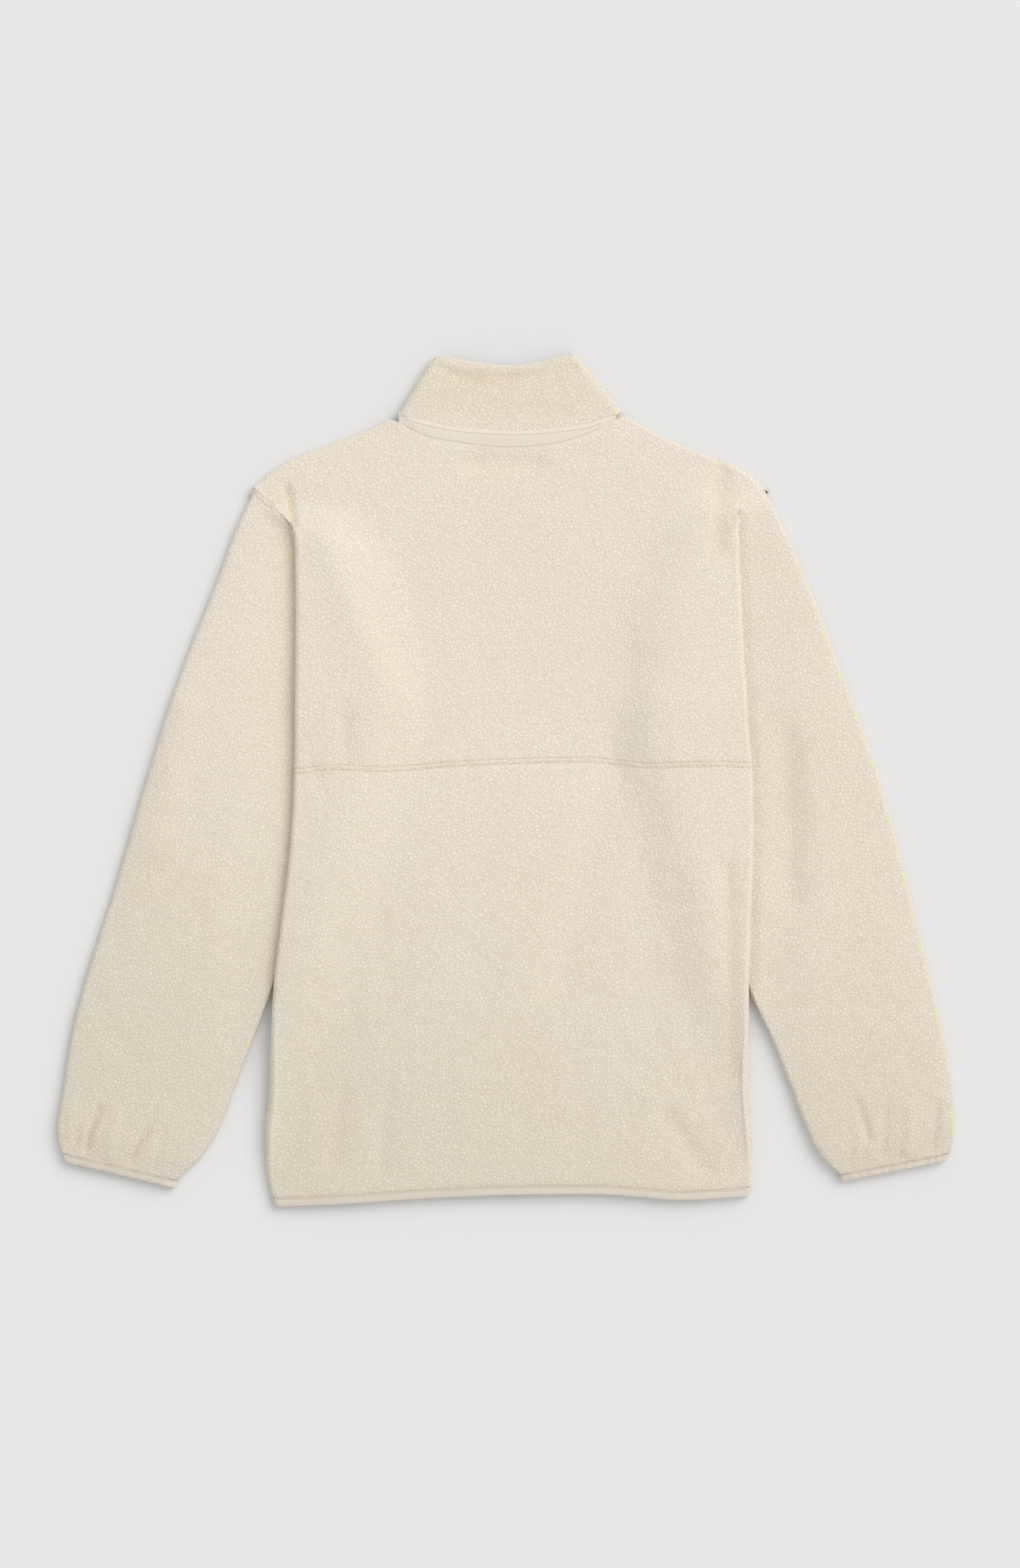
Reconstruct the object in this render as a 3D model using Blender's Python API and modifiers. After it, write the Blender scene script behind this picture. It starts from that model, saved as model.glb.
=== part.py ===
"""Pile-fleece jacket with a stand collar, laid flat with its back up.

X runs across the jacket, +Y points to the collar and +Z is up. The origin is under the
middle of the jacket, on the surface it lies on. Tables are in millimetres.
"""

import math
from collections import namedtuple

import bmesh
import bpy
from mathutils import Vector

# Driving sizes, in millimetres
MM = 0.001
WALL = 4.0  # pile fleece
SEAM_GAP = 0.3
FOLD_HEIGHT = 9.8  # two walls and the air in a fold
BODY_HEIGHT = 12.0  # back over front at the middle of the body
COLLAR_WALL = 6.6  # fleece doubled over
COLLAR_HEIGHT = 14.2  # back half of the collar on its front half
BINDING_WALL = 4.6
HEM_BINDING = 8.5
BINDING_STAND = 0.6  # a binding is this much thicker than the fold it goes round
NECK_BAND_WALL = 3.4
CENTRE_X = 4.0  # middle of the front zip
ZIP_HALF_GAP = 7.0
SHOULDER_RETURN = 8.0  # cloth rolled under along the shoulder fold
EDGE_TURN = 1.5  # a plain seam edge dips by this length of arc
RAMP_UNDER = 30.0  # the hidden layer climbs onto a sleeve over this width
RAMP_TOP = 66.0  # the back climbs over the same sleeve more softly
UNDER_MARGIN = 10.0  # and is at full height this far before the sleeve's edge
UNDERARM_Y = 70.0
LEFT_CREASE_Y = 228.0  # the body's side folds die out above these heights
RIGHT_CREASE_Y = 242.0
LEFT_CREASE_FADE = 22.0  # over this height
RIGHT_CREASE_FADE = 18.0
UNDERARM_RISE = 0.12  # extra share of the lift where the underarm bunches
UNDERARM_REACH = 20.0
SIDE_SLOPE = 60.0  # from the side fold's height to the middle's, over this width
SHOULDER_SLOPE = 40.0
SHOULDER_TIP_X = 190.0
SHOULDER_TIP_REACH = 25.0

# Across the body, one row for each height. Edge is the visible outline, under is the inner
# edge of the sleeve below the body, and tuck is where the cloth folded under ends.
Body = namedtuple("Body", "y left_edge left_under left_tuck right_edge right_under right_tuck")
BODY = [
    Body(-388, -208.9, -310, -186, 220.5, 315, 196),
    Body(-371, -213.3, -299, -186, 222.0, 303, 196),
    Body(-348, -217.1, -279.5, -187, 223.3, 289.5, 196),
    Body(-325, -217.9, -264, -187, 222.3, 275.7, 196),
    Body(-279, -214.1, -245, -184, 220.2, 258, 194),
    Body(-233, -212.2, -227, -178, 219.5, 239.5, 189.5),
    Body(-187, -209.8, -210, -171, 219.6, 218.8, 179),
    Body(-117, -201.4, -189.4, -150, 222.0, 201.7, 161.5),
    Body(-48, -194.0, -169.4, -130, 224.2, 184, 144),
    Body(10, -191.3, -151, -111, 223.3, 167, 127),
    Body(40, -191.0, -143.5, -104, 220.4, 159.5, 119.5),
    Body(71, -190.6, -135, -126, 218.4, 152, 143),
    Body(117, -190.1, -141, -143, 215.2, 160, 162),
    Body(160, -189.8, -153, -155, 213.2, 172, 174),
    Body(198, -190.2, -170, -172, 211.6, 185.5, 187),
    Body(222, -190.8, -187, -187, 210.7, 198, 198),
    Body(230, -193.5, -193.5, -192, 210.4, 203, 203),
    Body(240, -203.0, -203, -201, 211.0, 211, 209),
    Body(248, -211.4, -211.4, -210, 218.4, 218.4, 217),
    Body(262, -227.5, -227.5, -226, 233.0, 233, 231),
]

# The outline of the body's top, from the left shoulder point over the neck to the right
Top = namedtuple("Top", "x y roll")
TOP = [
    Top(-227.5, 261.9, 1),
    Top(-217, 275.3, 1),
    Top(-192.5, 290.7, 1),
    Top(-150.2, 306.1, 1),
    Top(-117.8, 319.5, 1),
    Top(-100, 327.5, 0.5),
    Top(-95.8, 321.5, 0),
    Top(-56.5, 305.7, 0),
    Top(6.2, 299.1, 0),
    Top(37.7, 301.5, 0),
    Top(69.3, 309.2, 0),
    Top(93.9, 320.7, 0),
    Top(106, 328.5, 0.5),
    Top(121.7, 320.5, 1),
    Top(150.2, 306.1, 1),
    Top(189.4, 290.7, 1),
    Top(221, 276.5, 1),
    Top(233, 263, 1),
]

Line = namedtuple("Line", "x y")
WAIST_SEAM = [
    Line(-230, 6),
    Line(-191, 7.3),
    Line(-154, 11.2),
    Line(-112, 9.6),
    Line(-35, 15),
    Line(73, 18.1),
    Line(131, 12.7),
    Line(189, 14.2),
    Line(240, 11.4),
]
HEM = [
    Line(-240, -387),
    Line(-209, -386.2),
    Line(-150, -383.8),
    Line(-73, -378.5),
    Line(4, -375.4),
    Line(81, -374.6),
    Line(119, -376.9),
    Line(158, -380),
    Line(196, -378.5),
    Line(240, -374.4),
]

# Back half of the collar, and the band under it
NECK_SEAM = [
    Line(-97, 329.2),
    Line(-80, 323),
    Line(-42.4, 315.3),
    Line(6.2, 312.2),
    Line(69.3, 317.6),
    Line(104.7, 330.7),
]
COLLAR_TOP = [
    Line(-64, 384.5),
    Line(-42.4, 380),
    Line(-15.4, 375.4),
    Line(3.9, 374.2),
    Line(34.7, 378.5),
    Line(62.5, 386.4),
]

# Sleeves: the outline's outer and inner edges, shoulder to cuff, and the armhole
SleeveRow = namedtuple("SleeveRow", "outer_x outer_y inner_x inner_y")
LEFT_SLEEVE = [
    SleeveRow(-228, 260.5, -134.8, 71.2),
    SleeveRow(-243.3, 229.1, -142, 45),
    SleeveRow(-260.3, 182.9, -150.9, 13.5),
    SleeveRow(-296.5, 90.5, -169.4, -48.1),
    SleeveRow(-325.7, -1.9, -189.4, -117.4),
    SleeveRow(-352.7, -94.3, -210.2, -186.7),
    SleeveRow(-381.9, -186.7, -227.2, -232.9),
    SleeveRow(-393.5, -232.9, -244.9, -279.1),
    SleeveRow(-401, -285, -258, -314),
    SleeveRow(-406.2, -317, -275, -341),
    SleeveRow(-401, -337.2, -297.5, -361.5),
]
RIGHT_SLEEVE = [
    SleeveRow(234.6, 261.6, 151.7, 71.2),
    SleeveRow(251.8, 229.1, 159, 45),
    SleeveRow(271.8, 182.9, 167.1, 13.5),
    SleeveRow(307.2, 90.5, 184, -48.1),
    SleeveRow(339.6, -1.9, 201.7, -117.4),
    SleeveRow(364.2, -94.3, 219.5, -189.8),
    SleeveRow(386.5, -186.7, 239.5, -232.9),
    SleeveRow(396.6, -232.9, 258, -279.1),
    SleeveRow(404.5, -285, 271, -314),
    SleeveRow(406.6, -317, 284, -340),
    SleeveRow(401.6, -337, 302, -356.3),
]
LEFT_ARMHOLE = [
    Line(-134.8, 71.2),
    Line(-140.9, 117.4),
    Line(-153.2, 159.8),
    Line(-170.2, 198.3),
    Line(-193.5, 230),
    Line(-211.4, 248),
    Line(-228, 260.5),
]
RIGHT_ARMHOLE = [
    Line(151.7, 71.2),
    Line(160.2, 117.4),
    Line(172.5, 160),
    Line(186, 198),
    Line(203, 230),
    Line(218.4, 248),
    Line(234.6, 261.6),
]
LEFT_CUFF_FOOT = [Line(-297.5, -369.6), Line(-399.5, -345.6)]
RIGHT_CUFF_FOOT = [Line(303, -363.6), Line(399.6, -344.4)]

# The largest folds, as a soft ridge or trough along a line on the upper side
Fold = namedtuple("Fold", "x0 y0 x1 y1 width rise")
BODY_FOLDS = [
    Fold(196, 288, 192, 208, 14, -1.6),
    Fold(115, 106, 96, 14, 30, -1.3),
    Fold(96, 14, 50, -179, 32, -1.5),
    Fold(-162, 214, -112, 90, 24, 1.6),
    Fold(-144, 60, -143, 22, 18, -1.2),
    Fold(-154, -340, -150, -290, 22, -1.3),
    Fold(-112, -345, -110, -290, 20, -1.2),
    Fold(150, -310, 181, -350, 20, -1.4),
    Fold(199, -79, 204, -264, 20, -1.5),
    Fold(-24, 288, 24, 287, 16, -1.2),
]
SLEEVE_FOLDS = [
    Fold(254, 29, 258, -102, 26, -1.6),
    Fold(-290, 60, -318, -60, 26, 1.4),
    Fold(-378, -331, -366, -294, 9, -1.8),
    Fold(-338, -341, -323, -317, 9, -1.8),
    Fold(-358, -336, -350, -300, 9, 1.2),
    Fold(340, -335, 343, -300, 9, -1.8),
    Fold(362, -334, 366, -296, 9, 1.2),
    Fold(386, -330, 390, -296, 9, -1.8),
]

Shade = namedtuple("Shade", "name red green blue roughness metallic")
FLEECE = Shade("cream_fleece", 0.79, 0.72, 0.60, 0.95, 0.0)
BINDING = Shade("cream_binding", 0.73, 0.66, 0.54, 0.85, 0.0)
TAPE = Shade("cream_zip_tape", 0.66, 0.58, 0.46, 0.8, 0.0)
ZIP_METAL = Shade("zip_metal", 0.5, 0.5, 0.5, 0.35, 1.0)


def clear_scene():
    for obj in list(bpy.data.objects):
        bpy.data.objects.remove(obj, do_unlink=True)


def smoothstep(t):
    t = min(max(t, 0.0), 1.0)
    return t * t * (3.0 - 2.0 * t)


def lerp(a, b, t):
    return a + (b - a) * t


def smooth_table(keys, values, key):
    """Value at key, on a cubic through the table's rows that never swings past them."""
    if key <= keys[0]:
        return values[0]
    if key >= keys[-1]:
        return values[-1]
    i = max(n for n in range(len(keys) - 1) if keys[n] <= key)
    step = keys[i + 1] - keys[i]
    t = (key - keys[i]) / step

    def slope_at(n):
        if n == 0 or n == len(keys) - 1:
            return 0.0 if len(keys) == 2 else end_slope(n)
        before = (values[n] - values[n - 1]) / (keys[n] - keys[n - 1])
        after = (values[n + 1] - values[n]) / (keys[n + 1] - keys[n])
        if before * after <= 0:
            return 0.0
        return 2 * before * after / (before + after)

    def end_slope(n):
        m = n if n == 0 else n - 1
        return (values[m + 1] - values[m]) / (keys[m + 1] - keys[m])

    a, b = values[i], values[i + 1]
    ma, mb = slope_at(i) * step, slope_at(i + 1) * step
    return (
        (2 * t**3 - 3 * t**2 + 1) * a
        + (t**3 - 2 * t**2 + t) * ma
        + (3 * t**2 - 2 * t**3) * b
        + (t**3 - t**2) * mb
    )


BODY_KEYS = [row.y for row in BODY]
BODY_COLUMNS = {name: [getattr(row, name) for row in BODY] for name in Body._fields}


def body_size(column, y):
    """One of BODY's columns at height y."""
    return smooth_table(BODY_KEYS, BODY_COLUMNS[column], y)


TOP_X = [row.x for row in TOP]
TOP_Y = [row.y for row in TOP]
TOP_ROLL = [row.roll for row in TOP]


def top_outline(x):
    """Height of the shoulder and neck line at x."""
    return smooth_table(TOP_X, TOP_Y, x)


def shoulder_tilt(x):
    """How much further below the outline the crest lies where the shoulder's tip is steep."""
    steep = math.hypot(1.0, top_outline(x + 0.5) - top_outline(x - 0.5))
    return lerp(1.0, steep, smoothstep((abs(x) - SHOULDER_TIP_X) / SHOULDER_TIP_REACH))


def roll_share(x):
    """1 along a rolled shoulder, 0 along the neck."""
    return smooth_table(TOP_X, TOP_ROLL, x)


def line_y(line, x):
    """Height of a table line at x."""
    return smooth_table([p.x for p in line], [p.y for p in line], x)


def polyline_point(points, t):
    """Point at the share t of a table line's length, as a Vector in the plane."""
    spots = [Vector((p.x, p.y)) for p in points]
    lengths = [0.0]
    for a, b in zip(spots, spots[1:]):
        lengths.append(lengths[-1] + (b - a).length)
    at = t * lengths[-1]
    x = smooth_table(lengths, [p.x for p in spots], at)
    y = smooth_table(lengths, [p.y for p in spots], at)
    return Vector((x, y))


def lift(x, y, ramp):
    """How far a body layer stands above the floor where it climbs over a sleeve."""
    left = body_size("left_under", y) + UNDER_MARGIN
    right = body_size("right_under", y) - UNDER_MARGIN
    left_fades = smoothstep((y - LEFT_CREASE_Y) / LEFT_CREASE_FADE)
    right_fades = smoothstep((y - RIGHT_CREASE_Y) / RIGHT_CREASE_FADE)
    over_left = smoothstep((left + ramp - x) / ramp) * (1.0 - left_fades)
    over_right = smoothstep((x - right + ramp) / ramp) * (1.0 - right_fades)
    underarm = 1.0 + UNDERARM_RISE * math.exp(-(((y - UNDERARM_Y) / UNDERARM_REACH) ** 2))
    return (FOLD_HEIGHT + SEAM_GAP) * underarm * max(over_left, over_right)


def relief(folds, x, y):
    """Rise of the largest folds at a place on the upper side."""
    total = 0.0
    for fold in folds:
        start = Vector((fold.x0, fold.y0))
        along = Vector((fold.x1, fold.y1)) - start
        place = Vector((x, y)) - start
        t = place.dot(along) / along.length_squared
        off = (place - along * min(max(t, 0.0), 1.0)).length
        total += fold.rise * math.exp(-((off / fold.width) ** 2) * 2.0)
    return total


def body_top(x, y):
    """Height of the back's outer side."""
    left = body_size("left_edge", y)
    right = body_size("right_edge", y)
    inside = smoothstep(min(x - left, right - x) / SIDE_SLOPE)
    below_shoulder = smoothstep((top_outline(x) - y) / SHOULDER_SLOPE)
    inside *= lerp(1.0, below_shoulder, roll_share(x))
    return FOLD_HEIGHT + (BODY_HEIGHT - FOLD_HEIGHT) * inside + lift(x, y, RAMP_TOP)


def top_point(u, v, corners, foot, crest, left, right):
    """Bilinearly blended patch between four boundary curves, each a function of 0 to 1."""
    p00, p10, p01, p11 = corners
    edge = foot(u) * (1 - v) + crest(u) * v + left(v) * (1 - u) + right(v) * u
    flat = p00 * (1 - u) * (1 - v) + p10 * u * (1 - v) + p01 * (1 - u) * v + p11 * u * v
    return edge - flat


def patch(foot, crest, left, right):
    corners = (left(0), right(0), left(1), right(1))

    def point(u, v):
        return top_point(u, v, corners, foot, crest, left, right)

    return point


def wrap_path(distance, top_z, under_z):
    """Outward reach and height at a distance round a fold, from the top of its arc."""
    radius = (top_z - under_z) / 2
    if distance < math.pi * radius:
        turn = distance / radius
        return radius * math.sin(turn), (top_z + under_z) / 2 + radius * math.cos(turn)
    return -(distance - math.pi * radius), under_z


def make_material(shade):
    material = bpy.data.materials.get(shade.name) or bpy.data.materials.new(shade.name)
    material.use_nodes = True
    shader = material.node_tree.nodes["Principled BSDF"]
    shader.inputs["Base Color"].default_value = (shade.red, shade.green, shade.blue, 1)
    shader.inputs["Roughness"].default_value = shade.roughness
    shader.inputs["Metallic"].default_value = shade.metallic
    return material


def add_piece(name, mesh, shade):
    mesh.materials.append(make_material(shade))
    mesh.shade_smooth()
    mesh.set_sharp_from_angle(angle=math.radians(50))
    obj = bpy.data.objects.new(name, mesh)
    bpy.data.collections["fleece_jacket"].objects.link(obj)
    return obj


def sheet(name, grid, thickness, shade, closed=False):
    """A cloth wall from the grid of its outer points, thickened inwards."""
    mesh = bpy.data.meshes.new(name)
    bm = bmesh.new()
    rows = [[bm.verts.new(point * MM) for point in row] for row in grid]
    for lower, upper in zip(rows, rows[1:]):
        count = len(lower)
        for j in range(count if closed else count - 1):
            k = (j + 1) % count
            bm.faces.new((lower[j], lower[k], upper[k], upper[j]))
    bm.to_mesh(mesh)
    bm.free()
    obj = add_piece(name, mesh, shade)
    wall = obj.modifiers.new("Wall", "SOLIDIFY")
    wall.thickness = thickness * MM
    wall.offset = -1.0
    return obj


# Share of the strip's width and depth below its outer side, round a soft section
Section = namedtuple("Section", "along depth")
ROUNDED = [
    Section(0.0, 0.16),
    Section(0.06, 0.0),
    Section(0.5, -0.04),
    Section(0.88, 0.04),
    Section(1.0, 0.3),
    Section(1.0, 0.7),
    Section(0.9, 0.95),
    Section(0.5, 1.0),
    Section(0.0, 1.0),
]


def strip(name, edges, wall, section, shade, closed=False):
    """A bound edge or collar: its section carried along (start, end, outward) triples."""
    mesh = bpy.data.meshes.new(name)
    bm = bmesh.new()
    rings = []
    for start, end, outward in edges:
        ring = []
        for row in section:
            place = start.lerp(end, row.along) - outward * (row.depth * wall)
            place.z = max(place.z, 0.0)
            ring.append(bm.verts.new(place * MM))
        rings.append(ring)
    pairs = list(zip(rings, rings[1:]))
    if closed:
        pairs.append((rings[-1], rings[0]))
    for a, b in pairs:
        for k in range(len(section)):
            m = (k + 1) % len(section)
            bm.faces.new((a[k], b[k], b[m], a[m]))
    if not closed:
        bm.faces.new(rings[0])
        bm.faces.new(list(reversed(rings[-1])))
    bmesh.ops.recalc_face_normals(bm, faces=bm.faces)
    bm.to_mesh(mesh)
    bm.free()
    return add_piece(name, mesh, shade)


WRAP_COLUMNS = 6
WRAP_SPREAD = 1.7


def wrap_steps(length):
    """Distances round a fold, close together on its arc and wider on the hidden return."""
    return [length * (n / WRAP_COLUMNS) ** WRAP_SPREAD for n in range(1, WRAP_COLUMNS + 1)]


def side_wrap(side, y):
    """Top-of-arc x and the list of (x, z) points folded under, for one side at height y."""
    edge = body_size(side + "_edge", y)
    tuck = body_size(side + "_tuck", y)
    sign = -1.0 if side == "left" else 1.0
    under = lift(edge, y, RAMP_UNDER)
    top = body_top(edge, y)
    radius = (top - under) / 2
    reach = (edge - tuck) * sign
    length = max(EDGE_TURN, math.pi * radius + (reach - radius)) if reach > 2.5 else EDGE_TURN
    bulge = radius * math.sin(min(length / radius, math.pi / 2))
    start = edge - sign * bulge
    points = []
    for distance in wrap_steps(length):
        out, z = wrap_path(distance, top, under)
        x = start + sign * out
        if out < 0:
            z = lift(x, y, RAMP_UNDER)
        points.append((x, z))
    return start, points


def back_grid(foot_y, crest_y, crest_rolls, rows, columns, side_low, side_high):
    """Outer points of a back panel with both side folds, from its foot line to its crest."""

    def left(v):
        y = lerp(side_low[0], side_high[0], v)
        return Vector((side_wrap("left", y)[0], y))

    def right(v):
        y = lerp(side_low[1], side_high[1], v)
        return Vector((side_wrap("right", y)[0], y))

    def along(line, a, b):
        def point(u):
            x = lerp(a.x, b.x, u)
            return Vector((x, line(x)))

        return point

    foot = along(foot_y, left(0), right(0))
    crest = along(crest_y, left(1), right(1))
    point = patch(foot, crest, left, right)
    grid = []
    for i in range(rows + 1):
        v = i / rows
        row = []
        for u in columns:
            spot = point(u, v)
            z = body_top(spot.x, spot.y) + relief(BODY_FOLDS, spot.x, spot.y)
            row.append(Vector((spot.x, spot.y, z)))
        wraps = []
        for side, end in (("left", row[0]), ("right", row[-1])):
            folded = []
            for x, z in side_wrap(side, end.y)[1]:
                slant = (foot_y(x) - foot_y(end.x)) * (1 - v)
                if not crest_rolls:
                    slant += (crest_y(x) - crest_y(end.x)) * v
                folded.append(Vector((x, end.y + slant, z)))
            wraps.append(folded)
        for index in (0, -1):
            row[index].z = body_top(row[index].x, row[index].y)
        grid.append(list(reversed(wraps[0])) + row + wraps[1])
    if crest_rolls:
        grid += shoulder_roll(grid[-1], crest_rolls)
    return grid


ROLL_ROWS = 5


def shoulder_roll(crest, roll_at):
    """Rows rolled down and under past the shoulder line, and a plain edge along the neck."""
    rows = [[] for _ in range(ROLL_ROWS)]
    first, last = WRAP_COLUMNS, len(crest) - 1 - WRAP_COLUMNS
    for j, spot in enumerate(crest):
        middle = min(max(j, first), last)
        a = crest[max(middle - 1, first)]
        b = crest[min(middle + 1, last)]
        across = Vector((b.x - a.x, b.y - a.y, 0))
        across.normalize()
        outward = Vector((-across.y, across.x, 0))
        if outward.y < 0.3:
            outward = Vector((0, 1, 0))
        share = roll_at(spot.x)
        radius = spot.z / 2
        full = math.pi * radius + SHOULDER_RETURN
        length = lerp(EDGE_TURN, full, share)
        for n in range(ROLL_ROWS):
            distance = length * ((n + 1) / ROLL_ROWS) ** 1.4
            out, z = wrap_path(distance, spot.z, 0.0)
            rows[n].append(Vector((spot.x, spot.y, z)) + outward * out)
    return rows


# Columns of the yoke at its crest, closer where the shoulders meet the neck
YOKE_COLUMNS = (
    -227, -212, -194, -176, -158, -140, -124, -110, -101, -94.5, -85, -69, -48, -26, -4,
    18, 40, 60, 79, 93, 100, 108, 121, 137, 154, 174, 194, 214, 232,
)
LOWER_COLUMNS = 24
UPPER_ROWS = 15
LOWER_ROWS = 18
# Heights of the panels' corners at the left and right side folds
WAIST_SIDES_Y = (7.3, 12.2)
ARMHOLE_TOPS_Y = (257, 259)
HEM_SIDES_Y = (-377.7, -366.5)


def make_backs():
    fold = FOLD_HEIGHT / 2

    def waist(shift):
        return lambda x: line_y(WAIST_SEAM, x) + shift

    def crest(x):
        rolled = fold * shoulder_tilt(x) * roll_share(x)
        return top_outline(x) - rolled - EDGE_TURN * (1 - roll_share(x))

    gap = SEAM_GAP
    left_y, right_y = WAIST_SIDES_Y
    first, last = YOKE_COLUMNS[0], YOKE_COLUMNS[-1]
    upper_columns = [(x - first) / (last - first) for x in YOKE_COLUMNS]
    lower_columns = [n / LOWER_COLUMNS for n in range(LOWER_COLUMNS + 1)]
    sides = (left_y + gap, right_y + gap)
    grid = back_grid(waist(gap), crest, roll_share, UPPER_ROWS, upper_columns, sides, ARMHOLE_TOPS_Y)
    sheet("back_upper", grid, WALL, FLEECE)

    def hem_line(x):
        return line_y(HEM, x) + HEM_BINDING + gap

    sides = (left_y - gap, right_y - gap)
    grid = back_grid(hem_line, waist(-gap), None, LOWER_ROWS, lower_columns, HEM_SIDES_Y, sides)
    sheet("back_lower", grid, WALL, FLEECE)


# Hidden fronts: their outer side edges, from the hem up to the shoulder
FrontSide = namedtuple("FrontSide", "y left_x right_x")
FRONT_SIDE = [
    FrontSide(-388, -185.6, 195.6),
    FrontSide(-325, -186.6, 195.6),
    FrontSide(-233, -176.6, 188),
    FrontSide(-187, -169, 177),
    FrontSide(-117, -147.8, 159.4),
    FrontSide(-48, -127.6, 141),
    FrontSide(10, -106.6, 123),
    FrontSide(40, -97.4, 115.0),
    FrontSide(55, -106, 122),
    FrontSide(71, -126, 143.5),
    FrontSide(117, -140, 159),
    FrontSide(160, -152, 171),
    FrontSide(198, -169, 185),
    FrontSide(230, -191, 199.5),
    FrontSide(252, -213.5, 220.5),
]
# Their upper edge: the front neckline, then the hidden shoulder seam
FRONT_TOP_LEFT = [
    Line(-215.5, 252),
    Line(-207, 263),
    Line(-186, 277),
    Line(-145, 292),
    Line(-112, 305),
    Line(-99, 309),
    Line(-91, 297),
    Line(-80, 283),
    Line(-60, 266),
    Line(-30, 253.5),
    Line(4, 249.5),
]
FRONT_TOP_RIGHT = [
    Line(4, 249.5),
    Line(38, 253.5),
    Line(68, 266),
    Line(88, 283),
    Line(99, 297),
    Line(107, 310),
    Line(119, 306),
    Line(148, 292),
    Line(186, 277),
    Line(212, 264),
    Line(223.5, 252),
]
FRONT_FOOT_GAP = 0.8
COLLAR_FRONT_TOP_LEFT = [Line(-64, 384.5), Line(-52, 362), Line(-30, 341), Line(4, 326)]
COLLAR_FRONT_TOP_RIGHT = [Line(4, 326), Line(38, 341), Line(54, 362), Line(62.5, 386.4)]


def make_front(name, side_column, top_line, zip_x):
    """One front, flat on its outer side, from the zip's edge to the side and the armhole."""
    rows, columns = 22, 6
    side_y = [row.y for row in FRONT_SIDE]
    side_x = [getattr(row, side_column) for row in FRONT_SIDE]

    def side(v):
        y = lerp(line_y(HEM, side_x[0]) + HEM_BINDING + FRONT_FOOT_GAP, 252, v)
        return Vector((smooth_table(side_y, side_x, y), y))

    def zip_edge(v):
        foot_y = line_y(HEM, zip_x) + HEM_BINDING + FRONT_FOOT_GAP
        return Vector((zip_x, lerp(foot_y, line_y(top_line, zip_x), v)))

    def foot(u):
        x = lerp(zip_x, side(0).x, u)
        return Vector((x, line_y(HEM, x) + HEM_BINDING + FRONT_FOOT_GAP))

    def crest(u):
        x = lerp(zip_x, side(1).x, u)
        return Vector((x, line_y(top_line, x)))

    point = patch(foot, crest, zip_edge, side)
    grid = []
    for i in range(rows + 1):
        spots = [point(j / columns, i / rows) for j in range(columns + 1)]
        grid.append([Vector((spot.x, spot.y, 0)) for spot in spots])
    if side(0).x > zip_x:
        grid = [list(reversed(row)) for row in grid]
    sheet(name, grid, WALL, FLEECE)


# A place on a flattened tube: distance from its inner edge, height, and which way it faces
Place = namedtuple("Place", "s z out_s out_z")


def flat_tube(width, height, top_columns, under_columns, start=None, arc_steps=4):
    """Places round a flattened tube that lies on the floor, from under its inner edge."""
    radius = height / 2
    places = []
    first = radius if start is None else start

    def run(a, b, steps, z, out_z):
        for n in range(steps):
            places.append(Place(lerp(a, b, n / steps), z, 0.0, out_z))

    def arc(centre, sign, from_under):
        for n in range(arc_steps):
            turn = math.pi * n / arc_steps
            rise = -math.cos(turn) if from_under else math.cos(turn)
            out = sign * math.sin(turn)
            places.append(Place(centre + radius * out, radius + radius * rise, out, rise))

    if start is not None:
        run(first, radius, 1, 0.0, -1.0)
    arc(radius, -1.0, True)
    run(radius, width - radius, top_columns, height, 1.0)
    arc(width - radius, 1.0, False)
    end = radius if start is None else start + SEAM_GAP + 0.2
    run(width - radius, end, under_columns, 0.0, -1.0)
    if start is not None:
        places.append(Place(end, 0.0, 0.0, -1.0))
    return places


SLEEVE_ROWS = 22
SLEEVE_SLIT = 14.0  # the underarm seam lies this far inside the inner edge
SLEEVE_SWELL = 4.0
SWELL_START = 6.0  # from the body's side fold
SWELL_REACH = 60.0
SLEEVE_CLEAR = 0.002  # the sleeve starts this share of its length past the armhole


def sleeve_swell(side, x, y, u):
    """Air in the sleeve where nothing lies on it."""
    sign = -1.0 if side == "left" else 1.0
    clear = (x - body_size(side + "_edge", y)) * sign - SWELL_START
    return SLEEVE_SWELL * smoothstep(clear / SWELL_REACH) * (4 * u * (1 - u)) ** 0.6


def make_sleeve(name, side, table, armhole):
    outer = [Line(row.outer_x, row.outer_y) for row in table]
    inner = [Line(row.inner_x, row.inner_y) for row in table]
    cuff = [inner[-1], outer[-1]]
    point = patch(
        lambda u: polyline_point(armhole, u),
        lambda u: polyline_point(cuff, u),
        lambda v: polyline_point(inner, v),
        lambda v: polyline_point(outer, v),
    )
    grid = []
    for i in range(SLEEVE_ROWS + 1):
        v = lerp(SLEEVE_CLEAR, 1.0, i / SLEEVE_ROWS)
        width = (point(1, v) - point(0, v)).length
        row = []
        for place in flat_tube(width, FOLD_HEIGHT, 9, 6, SLEEVE_SLIT):
            u = place.s / width
            spot = point(u, v)
            z = place.z
            if place.out_z == 1.0:
                z += sleeve_swell(side, spot.x, spot.y, u)
                z += relief(SLEEVE_FOLDS, spot.x, spot.y)
            row.append(Vector((spot.x, spot.y, z)))
        grid.append(row if side == "left" else list(reversed(row)))
    sheet(name, grid, WALL, FLEECE)


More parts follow.
